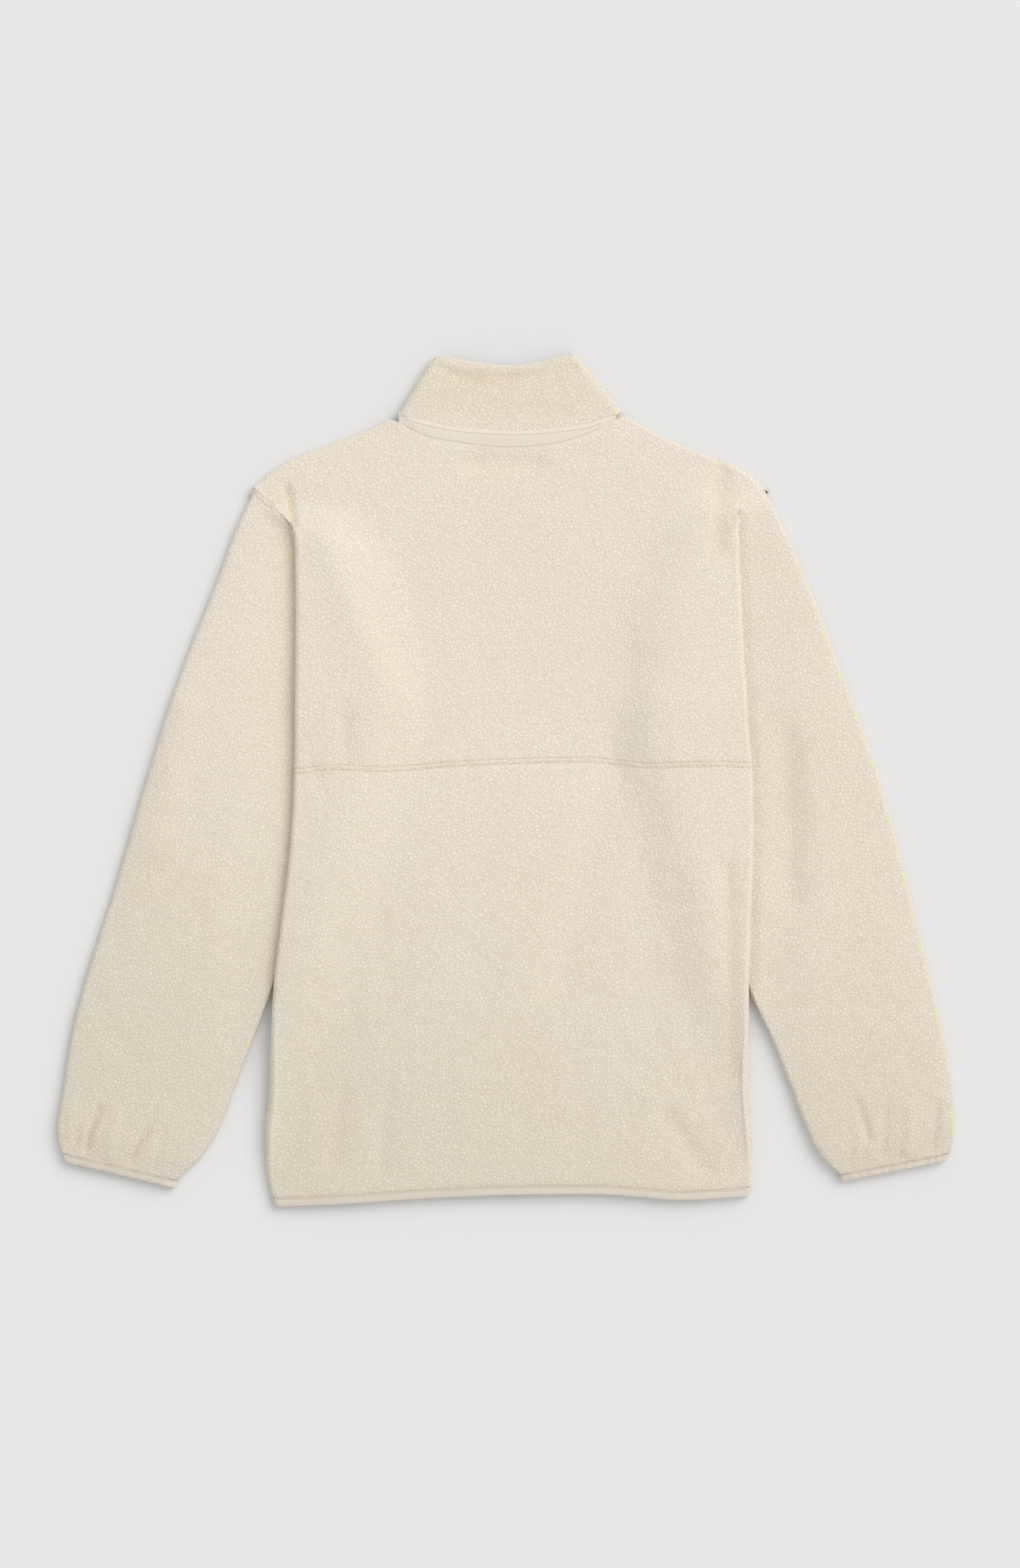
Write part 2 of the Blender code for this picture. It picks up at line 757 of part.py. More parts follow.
def tube_edges(start_line, end_line, height, top_columns, under_columns):
    """(start, end, outward) triples for a binding round a flattened tube's end."""
    a0, a1 = (Vector((p.x, p.y)) for p in start_line)
    b0, b1 = (Vector((p.x, p.y)) for p in end_line)
    width_a, width_b = (a1 - a0).length, (b1 - b0).length
    along_a, along_b = (a1 - a0).normalized(), (b1 - b0).normalized()
    edges = []
    for place in flat_tube(width_a, height, top_columns, under_columns):
        near = a0 + along_a * place.s
        far = b0 + along_b * (place.s * width_b / width_a)
        outward = Vector((along_a.x * place.out_s, along_a.y * place.out_s, place.out_z))
        height_z = Vector((0, 0, place.z))
        edges.append((near.to_3d() + height_z, far.to_3d() + height_z, outward))
    return edges


def make_cuff(name, table, foot):
    """Binding round a cuff, a little thicker than the sleeve's wall."""
    last = table[-1]
    top = Vector((last.inner_x, last.inner_y)), Vector((last.outer_x, last.outer_y))
    down = ((Vector(foot[0]) - top[0]) + (Vector(foot[1]) - top[1])).normalized()
    start = [Line(*(spot + down * SEAM_GAP)) for spot in top]
    edges = tube_edges(start, foot, FOLD_HEIGHT + BINDING_STAND, 9, 7)
    strip(name, edges, BINDING_WALL, ROUNDED, BINDING, closed=True)


HEM_MIDDLE_Y = -377.0


def make_hem():
    """Binding along the whole hem, from one edge of the zip round to the other."""
    height = FOLD_HEIGHT + BINDING_STAND
    radius = height / 2
    arc_steps, top_steps = 5, 29
    edges = []

    def add(x_top, x_foot, z, out_x, out_z):
        top = Vector((x_top, line_y(HEM, x_foot) + HEM_BINDING - SEAM_GAP / 2, z))
        foot = Vector((x_foot, line_y(HEM, x_foot), z))
        edges.append((top, foot, Vector((out_x, 0, out_z))))

    left = body_size("left_edge", -378), body_size("left_edge", -386)
    right = body_size("right_edge", -367), body_size("right_edge", -375)
    zip_left, zip_right = CENTRE_X - ZIP_HALF_GAP, CENTRE_X + ZIP_HALF_GAP
    for n in range(8):
        a, b = left[0] + radius, left[1] + radius
        add(lerp(zip_left, a, n / 8), lerp(zip_left, b, n / 8), 0.0, 0.0, -1.0)
    for n in range(arc_steps):
        turn = math.pi * n / arc_steps
        out = -math.sin(turn)
        add(left[0] + radius * (1 + out), left[1] + radius * (1 + out),
            radius * (1 - math.cos(turn)), out, -math.cos(turn))
    for n in range(top_steps):
        a = lerp(left[0] + radius, right[0] - radius, n / top_steps)
        b = lerp(left[1] + radius, right[1] - radius, n / top_steps)
        swell = body_top(b, HEM_MIDDLE_Y) + SEAM_GAP - height
        add(a, b, height + max(0.0, swell), 0.0, 1.0)
    for n in range(arc_steps):
        turn = math.pi * n / arc_steps
        out = math.sin(turn)
        add(right[0] - radius * (1 - out), right[1] - radius * (1 - out),
            radius * (1 + math.cos(turn)), out, math.cos(turn))
    for n in range(9):
        a, b = right[0] - radius, right[1] - radius
        add(lerp(a, zip_right, n / 8), lerp(b, zip_right, n / 8), 0.0, 0.0, -1.0)
    strip("hem_binding", edges, BINDING_WALL, ROUNDED, BINDING)


COLLAR_SECTION = [
    Section(0.0, 0.12),
    Section(0.03, 0.0),
    Section(0.35, -0.05),
    Section(0.7, -0.03),
    Section(0.9, 0.04),
    Section(0.98, 0.22),
    Section(1.0, 0.5),
    Section(0.98, 0.78),
    Section(0.9, 0.96),
    Section(0.5, 1.0),
    Section(0.0, 1.0),
]


COLLAR_BACK_RISE = 1.2  # the collar's foot starts this far above its seam line
COLLAR_FRONT_RISE = 4.0
COLLAR_ARC_STEPS = 6


def make_collar():
    """Stand collar pressed flat, from one edge of the zip round the back to the other."""
    radius = COLLAR_HEIGHT / 2
    left_foot, left_top = Vector((-97, 331, 0)), Vector((-64, 385, 0))
    right_foot, right_top = Vector((105.5, 333.5, 0)), Vector((62.5, 387, 0))
    edges = []

    def half(top_line, foot_line, xs_top, xs_foot, z, out_z, last):
        steps = len(xs_top)
        rise = COLLAR_BACK_RISE if out_z > 0 else COLLAR_FRONT_RISE
        for n in range(steps if last else steps - 1):
            foot = Vector((xs_foot[n], line_y(foot_line, xs_foot[n]) + rise, z))
            top = Vector((xs_top[n], line_y(top_line, xs_top[n]), z))
            edges.append((foot, top, Vector((0, 0, out_z))))

    def spread(a, b, steps):
        return [lerp(a, b, n / steps) for n in range(steps + 1)]

    def turn_edge(foot, top, from_under):
        along = (top - foot).normalized()
        outward = Vector((-along.y, along.x, 0)) if foot.x < 0 else Vector((along.y, -along.x, 0))
        if outward.x * foot.x < 0:
            outward = -outward
        for n in range(COLLAR_ARC_STEPS):
            turn = math.pi * n / COLLAR_ARC_STEPS
            face = -math.cos(turn) if from_under else math.cos(turn)
            reach = outward * (radius * (math.sin(turn) - 1))
            lift_z = Vector((0, 0, radius * (1 + face)))
            edges.append((foot + reach + lift_z, top + reach + lift_z,
                          outward * math.sin(turn) + Vector((0, 0, face))))

    zip_left, zip_right = CENTRE_X - ZIP_HALF_GAP, CENTRE_X + ZIP_HALF_GAP
    half(COLLAR_FRONT_TOP_LEFT, FRONT_TOP_LEFT, spread(zip_left, -57, 9), spread(zip_left, -87, 9),
         0.0, -1.0, False)
    turn_edge(left_foot, left_top, True)
    half(COLLAR_TOP, NECK_SEAM, spread(-56, 54.5, 16), spread(-90, 98, 16), COLLAR_HEIGHT, 1.0, True)
    turn_edge(right_foot, right_top, False)
    half(COLLAR_FRONT_TOP_RIGHT, FRONT_TOP_RIGHT, spread(55.5, zip_right, 9), spread(95, zip_right, 9),
         0.0, -1.0, True)
    strip("collar", edges, COLLAR_WALL, COLLAR_SECTION, FLEECE)


NECK_BAND_REACH = 90.5
NECK_BAND_Z = BODY_HEIGHT + 1.4  # its outer side
NECK_BAND_FOOT_RISE = 0.9
NECK_BAND_TOP_RISE = 0.4


def make_neck_band():
    """Smoother band over the back neck seam, level with the back and the collar."""
    edges = []
    steps = 20
    for n in range(steps + 1):
        x = lerp(-NECK_BAND_REACH, NECK_BAND_REACH, n / steps)
        foot = Vector((x, top_outline(x) + NECK_BAND_FOOT_RISE, NECK_BAND_Z))
        top = Vector((x, line_y(NECK_SEAM, x) + NECK_BAND_TOP_RISE, NECK_BAND_Z))
        edges.append((foot, top, Vector((0, 0, 1))))
    strip("neck_seam_band", edges, NECK_BAND_WALL, ROUNDED, BINDING)


# The closed front zip, in the gap between the fronts and their collar ends
TAPE_Z = 4.8
TAPE_THICKNESS = 1.0
TAPE_HALF_GAP = 0.25
TAPE_WIDE = 14.0  # below the collar, where it lies behind the fronts
TAPE_NARROW = 6.6
TAPE_FOOT_Y = -365.5
TAPE_STEP_Y = 244.0
TAPE_TOP_Y = 323.0
SLIDER_Y = 314.0
SLIDER_PLATE = (8.0, 12.0, 1.3)
SLIDER_PLATE_Z = 3.3
ARCH_WIDTH = 2.0
ARCH_LENGTH = 7.2
ARCH_POST = 1.2
ARCH_BAR = 0.6
ARCH_FOOT_Z = 0.5
PIVOT_Z = 1.9
PULL_LENGTH = 24.0
PULL_WIDTH = 5.6
PULL_THICKNESS = 0.8
PULL_EYE_WIDTH = 3.2
PULL_EYE_LENGTH = 3.8
PULL_BAR = 0.4  # from the pivot to each side of the bar that turns in the arch


def flat_outline(name, outlines, thickness, place, shade):
    """A flat piece from closed outlines, the later ones holes."""
    curve = bpy.data.curves.new(name, "CURVE")
    curve.dimensions = "2D"
    curve.fill_mode = "BOTH"
    curve.extrude = thickness / 2 * MM
    for outline in outlines:
        spline = curve.splines.new("POLY")
        spline.points.add(len(outline) - 1)
        for point, (x, y) in zip(spline.points, outline):
            point.co = (x * MM, y * MM, 0, 1)
        spline.use_cyclic_u = True
    curve.materials.append(make_material(shade))
    obj = bpy.data.objects.new(name, curve)
    obj.location = Vector(place) * MM
    bpy.data.collections["fleece_jacket"].objects.link(obj)
    return obj


def make_tape(name, sign):
    near, wide, narrow = TAPE_HALF_GAP, TAPE_WIDE, TAPE_NARROW
    outline = [
        (sign * near, TAPE_FOOT_Y),
        (sign * wide, TAPE_FOOT_Y),
        (sign * wide, TAPE_STEP_Y),
        (sign * narrow, TAPE_STEP_Y + 3),
        (sign * narrow, TAPE_TOP_Y),
        (sign * near, TAPE_TOP_Y),
    ]
    flat_outline(name, [outline], TAPE_THICKNESS, (CENTRE_X, 0, TAPE_Z), TAPE)


def block(name, centre, size):
    mesh = bpy.data.meshes.new(name)
    bm = bmesh.new()
    bmesh.ops.create_cube(bm, size=1.0)
    for vert in bm.verts:
        vert.co = Vector((vert.co.x * size[0], vert.co.y * size[1], vert.co.z * size[2])) * MM
    bm.to_mesh(mesh)
    bm.free()
    obj = bpy.data.objects.new(name, mesh)
    obj.location = Vector(centre) * MM
    return obj


def make_slider():
    """A plate under the closed tapes, with an arch for the pull."""
    plate = block("zip_slider", (CENTRE_X, SLIDER_Y, SLIDER_PLATE_Z), SLIDER_PLATE)
    plate.data.materials.append(make_material(ZIP_METAL))
    bpy.data.collections["fleece_jacket"].objects.link(plate)
    post_top = SLIDER_PLATE_Z
    post_height = post_top - ARCH_FOOT_Z
    post_y = (ARCH_LENGTH - ARCH_POST) / 2
    blocks = [
        ((0, post_y, ARCH_FOOT_Z + post_height / 2), (ARCH_WIDTH, ARCH_POST, post_height)),
        ((0, -post_y, ARCH_FOOT_Z + post_height / 2), (ARCH_WIDTH, ARCH_POST, post_height)),
        ((0, 0, ARCH_FOOT_Z + ARCH_BAR / 2), (ARCH_WIDTH, ARCH_LENGTH - ARCH_POST, ARCH_BAR)),
    ]
    for n, (offset, size) in enumerate(blocks):
        piece = block(f"arch_{n}", Vector(offset) + Vector((CENTRE_X, SLIDER_Y, 0)), size)
        piece.hide_render = True
        piece.display_type = "WIRE"
        bpy.data.collections["cutters"].objects.link(piece)
        union = plate.modifiers.new(f"Arch {n}", "BOOLEAN")
        union.operation = "UNION"
        union.solver = "EXACT"
        union.object = piece


def make_pull():
    """Flat tab whose eye turns on the slider's arch, hanging towards the hem."""
    half, corner = PULL_WIDTH / 2, 1.2
    foot = PULL_BAR - PULL_LENGTH
    tab = [
        (-half, PULL_BAR),
        (-half, foot + corner),
        (-half + corner, foot),
        (half - corner, foot),
        (half, foot + corner),
        (half, PULL_BAR),
    ]
    eye_half = PULL_EYE_WIDTH / 2
    eye_end = -PULL_BAR - PULL_EYE_LENGTH
    eye = [(-eye_half, -PULL_BAR), (-eye_half, eye_end), (eye_half, eye_end), (eye_half, -PULL_BAR)]
    flat_outline("zip_pull", [tab, eye], PULL_THICKNESS, (CENTRE_X, SLIDER_Y, PIVOT_Z), ZIP_METAL)


def main():
    clear_scene()
    collection = bpy.data.collections.new("fleece_jacket")
    bpy.context.scene.collection.children.link(collection)
    cutters = bpy.data.collections.new("cutters")
    bpy.context.scene.collection.children.link(cutters)
    make_backs()
    make_front("front_left", "left_x", FRONT_TOP_LEFT, CENTRE_X - ZIP_HALF_GAP)
    make_front("front_right", "right_x", FRONT_TOP_RIGHT, CENTRE_X + ZIP_HALF_GAP)
    make_sleeve("sleeve_left", "left", LEFT_SLEEVE, LEFT_ARMHOLE)
    make_sleeve("sleeve_right", "right", RIGHT_SLEEVE, RIGHT_ARMHOLE)
    make_cuff("cuff_binding_left", LEFT_SLEEVE, LEFT_CUFF_FOOT)
    make_cuff("cuff_binding_right", RIGHT_SLEEVE, RIGHT_CUFF_FOOT)
    make_hem()
    make_collar()
    make_neck_band()
    make_tape("zip_tape_left", -1)
    make_tape("zip_tape_right", 1)
    make_slider()
    make_pull()


main()
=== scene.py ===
# %% [markdown]
# A pile-fleece jacket, laid flat with its back up
#
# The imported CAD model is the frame: each cloth piece below takes the place of one of its
# solids, in the same place and size, and is finer. X runs across the jacket, +Y points to
# the collar and +Z is up. Tables are in millimetres and meshes in metres.

import math
from collections import namedtuple

import bpy
import numpy as np
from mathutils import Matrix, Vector
from mathutils.bvhtree import BVHTree


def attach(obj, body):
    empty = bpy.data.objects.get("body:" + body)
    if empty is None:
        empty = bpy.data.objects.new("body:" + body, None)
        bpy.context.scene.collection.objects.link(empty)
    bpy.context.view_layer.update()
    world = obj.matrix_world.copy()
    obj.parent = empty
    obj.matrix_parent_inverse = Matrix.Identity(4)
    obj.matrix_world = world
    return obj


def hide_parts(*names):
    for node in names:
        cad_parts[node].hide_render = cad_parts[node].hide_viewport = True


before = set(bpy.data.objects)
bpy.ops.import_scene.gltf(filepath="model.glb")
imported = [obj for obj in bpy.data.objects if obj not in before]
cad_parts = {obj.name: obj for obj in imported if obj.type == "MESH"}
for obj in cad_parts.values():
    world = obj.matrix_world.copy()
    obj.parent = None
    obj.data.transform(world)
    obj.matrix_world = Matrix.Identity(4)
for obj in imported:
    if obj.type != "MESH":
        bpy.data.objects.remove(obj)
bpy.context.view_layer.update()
scene = bpy.context.scene

# %% [markdown]
# Camera, floor and light
#
# A flat-lay picture is taken from straight above with a long lens, on a pale seamless
# board. A large soft lamp stands to the upper right, so soft tight shadows lie along the
# left and lower edges, and the room fills the rest. A camera above the middle of the
# board, one plane, one soft lamp and a pale room are enough.

# %% Camera, floor and light
CAMERA_PLACE = (0.00385, -0.00385, 3.354)
LENS, SENSOR_WIDTH = 85, 36
FLOOR_SIDE, FLOOR_Z = 4.0, -0.0002  # half a side, and just below the cloth
FLOOR_COLOUR = (0.80, 0.80, 0.805, 1)
ROOM_STRENGTH = 0.695
LAMP_PLACE, LAMP_ANGLE, LAMP_STRENGTH = (1.1, 0.95, 1.35), 45, 1.45
LAMP_COLOUR = (1.0, 0.99, 0.975)


def add_camera():
    """A long lens straight above the board."""
    camera = bpy.data.objects.new("camera", bpy.data.cameras.new("camera"))
    camera.location = CAMERA_PLACE
    camera.data.lens = LENS
    camera.data.sensor_width = SENSOR_WIDTH
    camera.data.clip_end = 20
    scene.collection.objects.link(camera)
    scene.camera = camera


def add_lamp():
    """A large soft lamp, far enough to light the whole board evenly."""
    lamp = bpy.data.lights.new("key", "SUN")
    lamp.angle = math.radians(LAMP_ANGLE)
    lamp.energy = LAMP_STRENGTH
    lamp.color = LAMP_COLOUR
    obj = bpy.data.objects.new("key", lamp)
    obj.location = LAMP_PLACE
    obj.rotation_euler = (-Vector(LAMP_PLACE)).to_track_quat("-Z", "Y").to_euler()
    scene.collection.objects.link(obj)


def add_floor():
    """The pale board. It is stage, not part of the jacket."""
    mesh = bpy.data.meshes.new("floor")
    square = (-1, -1), (1, -1), (1, 1), (-1, 1)
    corners = [(x * FLOOR_SIDE, y * FLOOR_SIDE, FLOOR_Z) for x, y in square]
    mesh.from_pydata(corners, [], [(0, 1, 2, 3)])
    floor = bpy.data.objects.new("floor", mesh)
    scene.collection.objects.link(floor)
    material = bpy.data.materials.new("board")
    material.use_nodes = True
    shader = material.node_tree.nodes["Principled BSDF"]
    shader.inputs["Base Color"].default_value = FLOOR_COLOUR
    shader.inputs["Roughness"].default_value = 0.9
    mesh.materials.append(material)


def add_world():
    """An evenly pale room."""
    world = bpy.data.worlds.new("room")
    world.use_nodes = True
    background = world.node_tree.nodes["Background"]
    background.inputs["Color"].default_value = (1.0, 1.0, 1.0, 1)
    background.inputs["Strength"].default_value = ROOM_STRENGTH
    scene.world = world


add_camera()
add_floor()
add_world()
add_lamp()
scene.view_settings.view_transform = "Standard"
print("camera at", tuple(scene.camera.location))

# %% [markdown]
# Sizes
#
# The same sizes as the part's source: the heights of the layers, how the side folds lie,
# and how the back climbs over the sleeves. The tables of the outline follow below. One set
# of sizes drives both models, so a cloth piece and its solid can't drift apart.

# %% Sizes
MM = 0.001
SEAM_GAP = 0.3
FOLD_HEIGHT = 9.8  # two walls and the air in a fold
BODY_HEIGHT = 12.0  # back over front at the middle of the body
HEM_BINDING = 8.5
CENTRE_X = 4.0  # middle of the front zip
SHOULDER_RETURN = 8.0  # cloth rolled under along the shoulder fold
EDGE_TURN = 1.5  # a plain seam edge dips by this length of arc
RAMP_UNDER = 30.0  # the hidden layer climbs onto a sleeve over this width
RAMP_TOP = 66.0  # the back climbs over the same sleeve more softly
UNDER_MARGIN = 10.0  # and is at full height this far before the sleeve's edge
UNDERARM_Y = 70.0
LEFT_CREASE_Y = 228.0  # the body's side folds die out above these heights
RIGHT_CREASE_Y = 242.0
LEFT_CREASE_FADE = 22.0  # over this height
RIGHT_CREASE_FADE = 18.0
UNDERARM_RISE = 0.12  # extra share of the lift where the underarm bunches
UNDERARM_REACH = 20.0
SIDE_SLOPE = 60.0  # from the side fold's height to the middle's, over this width
SHOULDER_SLOPE = 40.0
SHOULDER_TIP_X = 190.0
SHOULDER_TIP_REACH = 25.0
print("middle of the back", BODY_HEIGHT, "mm high, a fold", FOLD_HEIGHT)

# %% [markdown]
# Body widths and the shoulder line
#
# The body keeps nearly one width from the underarms to the hem, and its side folds lie over
# the sleeves. The shoulders run up to the neck in one soft curve. Each is a short table
# that a smooth curve passes through. Tracing the whole outline point by point would fix its
# bumps into the model.

# %% Body widths and the shoulder line
# One row for each height across the body. Edge is the visible outline, under is the inner
# edge of the sleeve below the body, and tuck is where the cloth folded under ends.
Body = namedtuple("Body", "y left_edge left_under left_tuck right_edge right_under right_tuck")
BODY = [
    Body(-388, -208.9, -310, -186, 220.5, 315, 196),
    Body(-371, -213.3, -299, -186, 222.0, 303, 196),
    Body(-348, -217.1, -279.5, -187, 223.3, 289.5, 196),
    Body(-325, -217.9, -264, -187, 222.3, 275.7, 196),
    Body(-279, -214.1, -245, -184, 220.2, 258, 194),
    Body(-233, -212.2, -227, -178, 219.5, 239.5, 189.5),
    Body(-187, -209.8, -210, -171, 219.6, 218.8, 179),
    Body(-117, -201.4, -189.4, -150, 222.0, 201.7, 161.5),
    Body(-48, -194.0, -169.4, -130, 224.2, 184, 144),
    Body(10, -191.3, -151, -111, 223.3, 167, 127),
    Body(40, -191.0, -143.5, -104, 220.4, 159.5, 119.5),
    Body(71, -190.6, -135, -126, 218.4, 152, 143),
    Body(117, -190.1, -141, -143, 215.2, 160, 162),
    Body(160, -189.8, -153, -155, 213.2, 172, 174),
    Body(198, -190.2, -170, -172, 211.6, 185.5, 187),
    Body(222, -190.8, -187, -187, 210.7, 198, 198),
    Body(230, -193.5, -193.5, -192, 210.4, 203, 203),
    Body(240, -203.0, -203, -201, 211.0, 211, 209),
    Body(248, -211.4, -211.4, -210, 218.4, 218.4, 217),
    Body(262, -227.5, -227.5, -226, 233.0, 233, 231),
]

# The outline of the body's top, from the left shoulder point over the neck to the right
Top = namedtuple("Top", "x y roll")
TOP = [
    Top(-227.5, 261.9, 1),
    Top(-217, 275.3, 1),
    Top(-192.5, 290.7, 1),
    Top(-150.2, 306.1, 1),
    Top(-117.8, 319.5, 1),
    Top(-100, 327.5, 0.5),
    Top(-95.8, 321.5, 0),
    Top(-56.5, 305.7, 0),
    Top(6.2, 299.1, 0),
    Top(37.7, 301.5, 0),
    Top(69.3, 309.2, 0),
    Top(93.9, 320.7, 0),
    Top(106, 328.5, 0.5),
    Top(121.7, 320.5, 1),
    Top(150.2, 306.1, 1),
    Top(189.4, 290.7, 1),
    Top(221, 276.5, 1),
    Top(233, 263, 1),
]
print(len(BODY), "heights of the body,", len(TOP), "places along the shoulders")

# %% [markdown]
# Seam lines and sleeves
#
# The waist seam and the hem sag and rise as the cloth was laid, so each is a line through a
# few places. A sleeve has an outer and an inner edge from the armhole to the cuff, and its
# armhole curves round the body.

# %% Seam lines and sleeves
Line = namedtuple("Line", "x y")


def line_through(*pairs):
    return [Line(x, y) for x, y in pairs]


WAIST_SEAM = line_through(
    (-230, 6), (-191, 7.3), (-154, 11.2), (-112, 9.6), (-35, 15), (73, 18.1), (131, 12.7),
    (189, 14.2), (240, 11.4),
)
HEM = line_through(
    (-240, -387), (-209, -386.2), (-150, -383.8), (-73, -378.5), (4, -375.4), (81, -374.6),
    (119, -376.9), (158, -380), (196, -378.5), (240, -374.4),
)

# The seam of the collar with the band under it
NECK_SEAM = line_through(
    (-97, 329.2), (-80, 323), (-42.4, 315.3), (6.2, 312.2), (69.3, 317.6), (104.7, 330.7),
)

# Sleeves: the outline's outer and inner edges, shoulder to cuff, and the armhole
SleeveRow = namedtuple("SleeveRow", "outer_x outer_y inner_x inner_y")
LEFT_SLEEVE = [
    SleeveRow(-228, 260.5, -134.8, 71.2),
    SleeveRow(-243.3, 229.1, -142, 45),
    SleeveRow(-260.3, 182.9, -150.9, 13.5),
    SleeveRow(-296.5, 90.5, -169.4, -48.1),
    SleeveRow(-325.7, -1.9, -189.4, -117.4),
    SleeveRow(-352.7, -94.3, -210.2, -186.7),
    SleeveRow(-381.9, -186.7, -227.2, -232.9),
    SleeveRow(-393.5, -232.9, -244.9, -279.1),
    SleeveRow(-401, -285, -258, -314),
    SleeveRow(-406.2, -317, -275, -341),
    SleeveRow(-401, -337.2, -297.5, -361.5),
]
RIGHT_SLEEVE = [
    SleeveRow(234.6, 261.6, 151.7, 71.2),
    SleeveRow(251.8, 229.1, 159, 45),
    SleeveRow(271.8, 182.9, 167.1, 13.5),
    SleeveRow(307.2, 90.5, 184, -48.1),
    SleeveRow(339.6, -1.9, 201.7, -117.4),
    SleeveRow(364.2, -94.3, 219.5, -189.8),
    SleeveRow(386.5, -186.7, 239.5, -232.9),
    SleeveRow(396.6, -232.9, 258, -279.1),
    SleeveRow(404.5, -285, 271, -314),
    SleeveRow(406.6, -317, 284, -340),
    SleeveRow(401.6, -337, 302, -356.3),
]
LEFT_ARMHOLE = line_through(
    (-134.8, 71.2), (-140.9, 117.4), (-153.2, 159.8), (-170.2, 198.3), (-193.5, 230),
    (-211.4, 248), (-228, 260.5),
)
RIGHT_ARMHOLE = line_through(
    (151.7, 71.2), (160.2, 117.4), (172.5, 160), (186, 198), (203, 230), (218.4, 248),
    (234.6, 261.6),
)
LEFT_CUFF_FOOT = line_through((-297.5, -369.6), (-399.5, -345.6))
RIGHT_CUFF_FOOT = line_through((303, -363.6), (399.6, -344.4))
print(len(WAIST_SEAM), "places on the waist seam,", len(LEFT_SLEEVE), "rows down a sleeve")

# %% [markdown]
# The largest folds
#
# Smoothed by hand, the cloth keeps a few long soft folds, and the elastic draws short ones
# at the cuffs. Each is a ridge or trough along a line. The solids have the same ones.

# %% The largest folds
Fold = namedtuple("Fold", "x0 y0 x1 y1 width rise")
BODY_FOLDS = [
    Fold(196, 288, 192, 208, 14, -1.6),
    Fold(115, 106, 96, 14, 30, -1.3),
    Fold(96, 14, 50, -179, 32, -1.5),
    Fold(-162, 214, -112, 90, 24, 1.6),
    Fold(-144, 60, -143, 22, 18, -1.2),
    Fold(-154, -340, -150, -290, 22, -1.3),
    Fold(-112, -345, -110, -290, 20, -1.2),
    Fold(150, -310, 181, -350, 20, -1.4),
    Fold(199, -79, 204, -264, 20, -1.5),
    Fold(-24, 288, 24, 287, 16, -1.2),
]
SLEEVE_FOLDS = [
    Fold(254, 29, 258, -102, 26, -1.6),
    Fold(-290, 60, -318, -60, 26, 1.4),
    Fold(-378, -331, -366, -294, 9, -1.8),
    Fold(-338, -341, -323, -317, 9, -1.8),
    Fold(-358, -336, -350, -300, 9, 1.2),
    Fold(340, -335, 343, -300, 9, -1.8),
    Fold(362, -334, 366, -296, 9, 1.2),
    Fold(386, -330, 390, -296, 9, -1.8),
]
print(len(BODY_FOLDS), "folds on the body,", len(SLEEVE_FOLDS), "on the sleeves")

# %% [markdown]
# Smooth curves through the tables
#
# A cut edge or a fold of cloth has no corners between two measured places. Straight steps
# would show as kinks in the outline, and a common cubic would swing past the table's
# values. This cubic keeps between them. Its slope at a row is the harmonic mean of the
# slopes beside it, or level where they change sign.

# %% Smooth curves through the tables
def smoothstep(t):
    """0 below 0, 1 above 1, and a soft step between."""
    t = min(max(t, 0.0), 1.0)
    return t * t * (3.0 - 2.0 * t)


def lerp(a, b, t):
    """The value a share t of the way from a to b."""
    return a + (b - a) * t


def smooth_table(keys, values, key):
    """Value at key, on a cubic through the table's rows that never swings past them."""
    if key <= keys[0]:
        return values[0]
    if key >= keys[-1]:
        return values[-1]
    i = max(n for n in range(len(keys) - 1) if keys[n] <= key)
    step = keys[i + 1] - keys[i]
    t = (key - keys[i]) / step

    def slope_at(n):
        if n == 0 or n == len(keys) - 1:
            return 0.0 if len(keys) == 2 else end_slope(n)
        before = (values[n] - values[n - 1]) / (keys[n] - keys[n - 1])
        after = (values[n + 1] - values[n]) / (keys[n + 1] - keys[n])
        if before * after <= 0:
            return 0.0
        return 2 * before * after / (before + after)

    def end_slope(n):
        m = n if n == 0 else n - 1
        return (values[m + 1] - values[m]) / (keys[m + 1] - keys[m])

    a, b = values[i], values[i + 1]
    ma, mb = slope_at(i) * step, slope_at(i + 1) * step
    return (
        (2 * t**3 - 3 * t**2 + 1) * a
        + (t**3 - 2 * t**2 + t) * ma
        + (3 * t**2 - 2 * t**3) * b
        + (t**3 - t**2) * mb
    )


print("half way up a soft step:", smoothstep(0.5))

# %% [markdown]
# Outline and height of the layers
#
# The back lies on the fronts and climbs over both sleeves, then comes down to its side
# folds. A cloth simulation could find these heights, but would not land on the solids. The
# same few soft ramps as in the part's source give the same surface.

# %% Outline and height of the layers
BODY_KEYS = [row.y for row in BODY]
BODY_COLUMNS = {name: [getattr(row, name) for row in BODY] for name in Body._fields}


def body_size(column, y):
    """One of BODY's columns at height y."""
    return smooth_table(BODY_KEYS, BODY_COLUMNS[column], y)


TOP_X = [row.x for row in TOP]
TOP_Y = [row.y for row in TOP]
TOP_ROLL = [row.roll for row in TOP]


def top_outline(x):
    """Height of the shoulder and neck line at x."""
    return smooth_table(TOP_X, TOP_Y, x)


def shoulder_tilt(x):
    """How much further below the outline the crest lies where the shoulder's tip is steep."""
    steep = math.hypot(1.0, top_outline(x + 0.5) - top_outline(x - 0.5))
    return lerp(1.0, steep, smoothstep((abs(x) - SHOULDER_TIP_X) / SHOULDER_TIP_REACH))


def roll_share(x):
    """1 along a rolled shoulder, 0 along the neck."""
    return smooth_table(TOP_X, TOP_ROLL, x)


def line_y(line, x):
    """Height of a table line at x."""
    return smooth_table([p.x for p in line], [p.y for p in line], x)


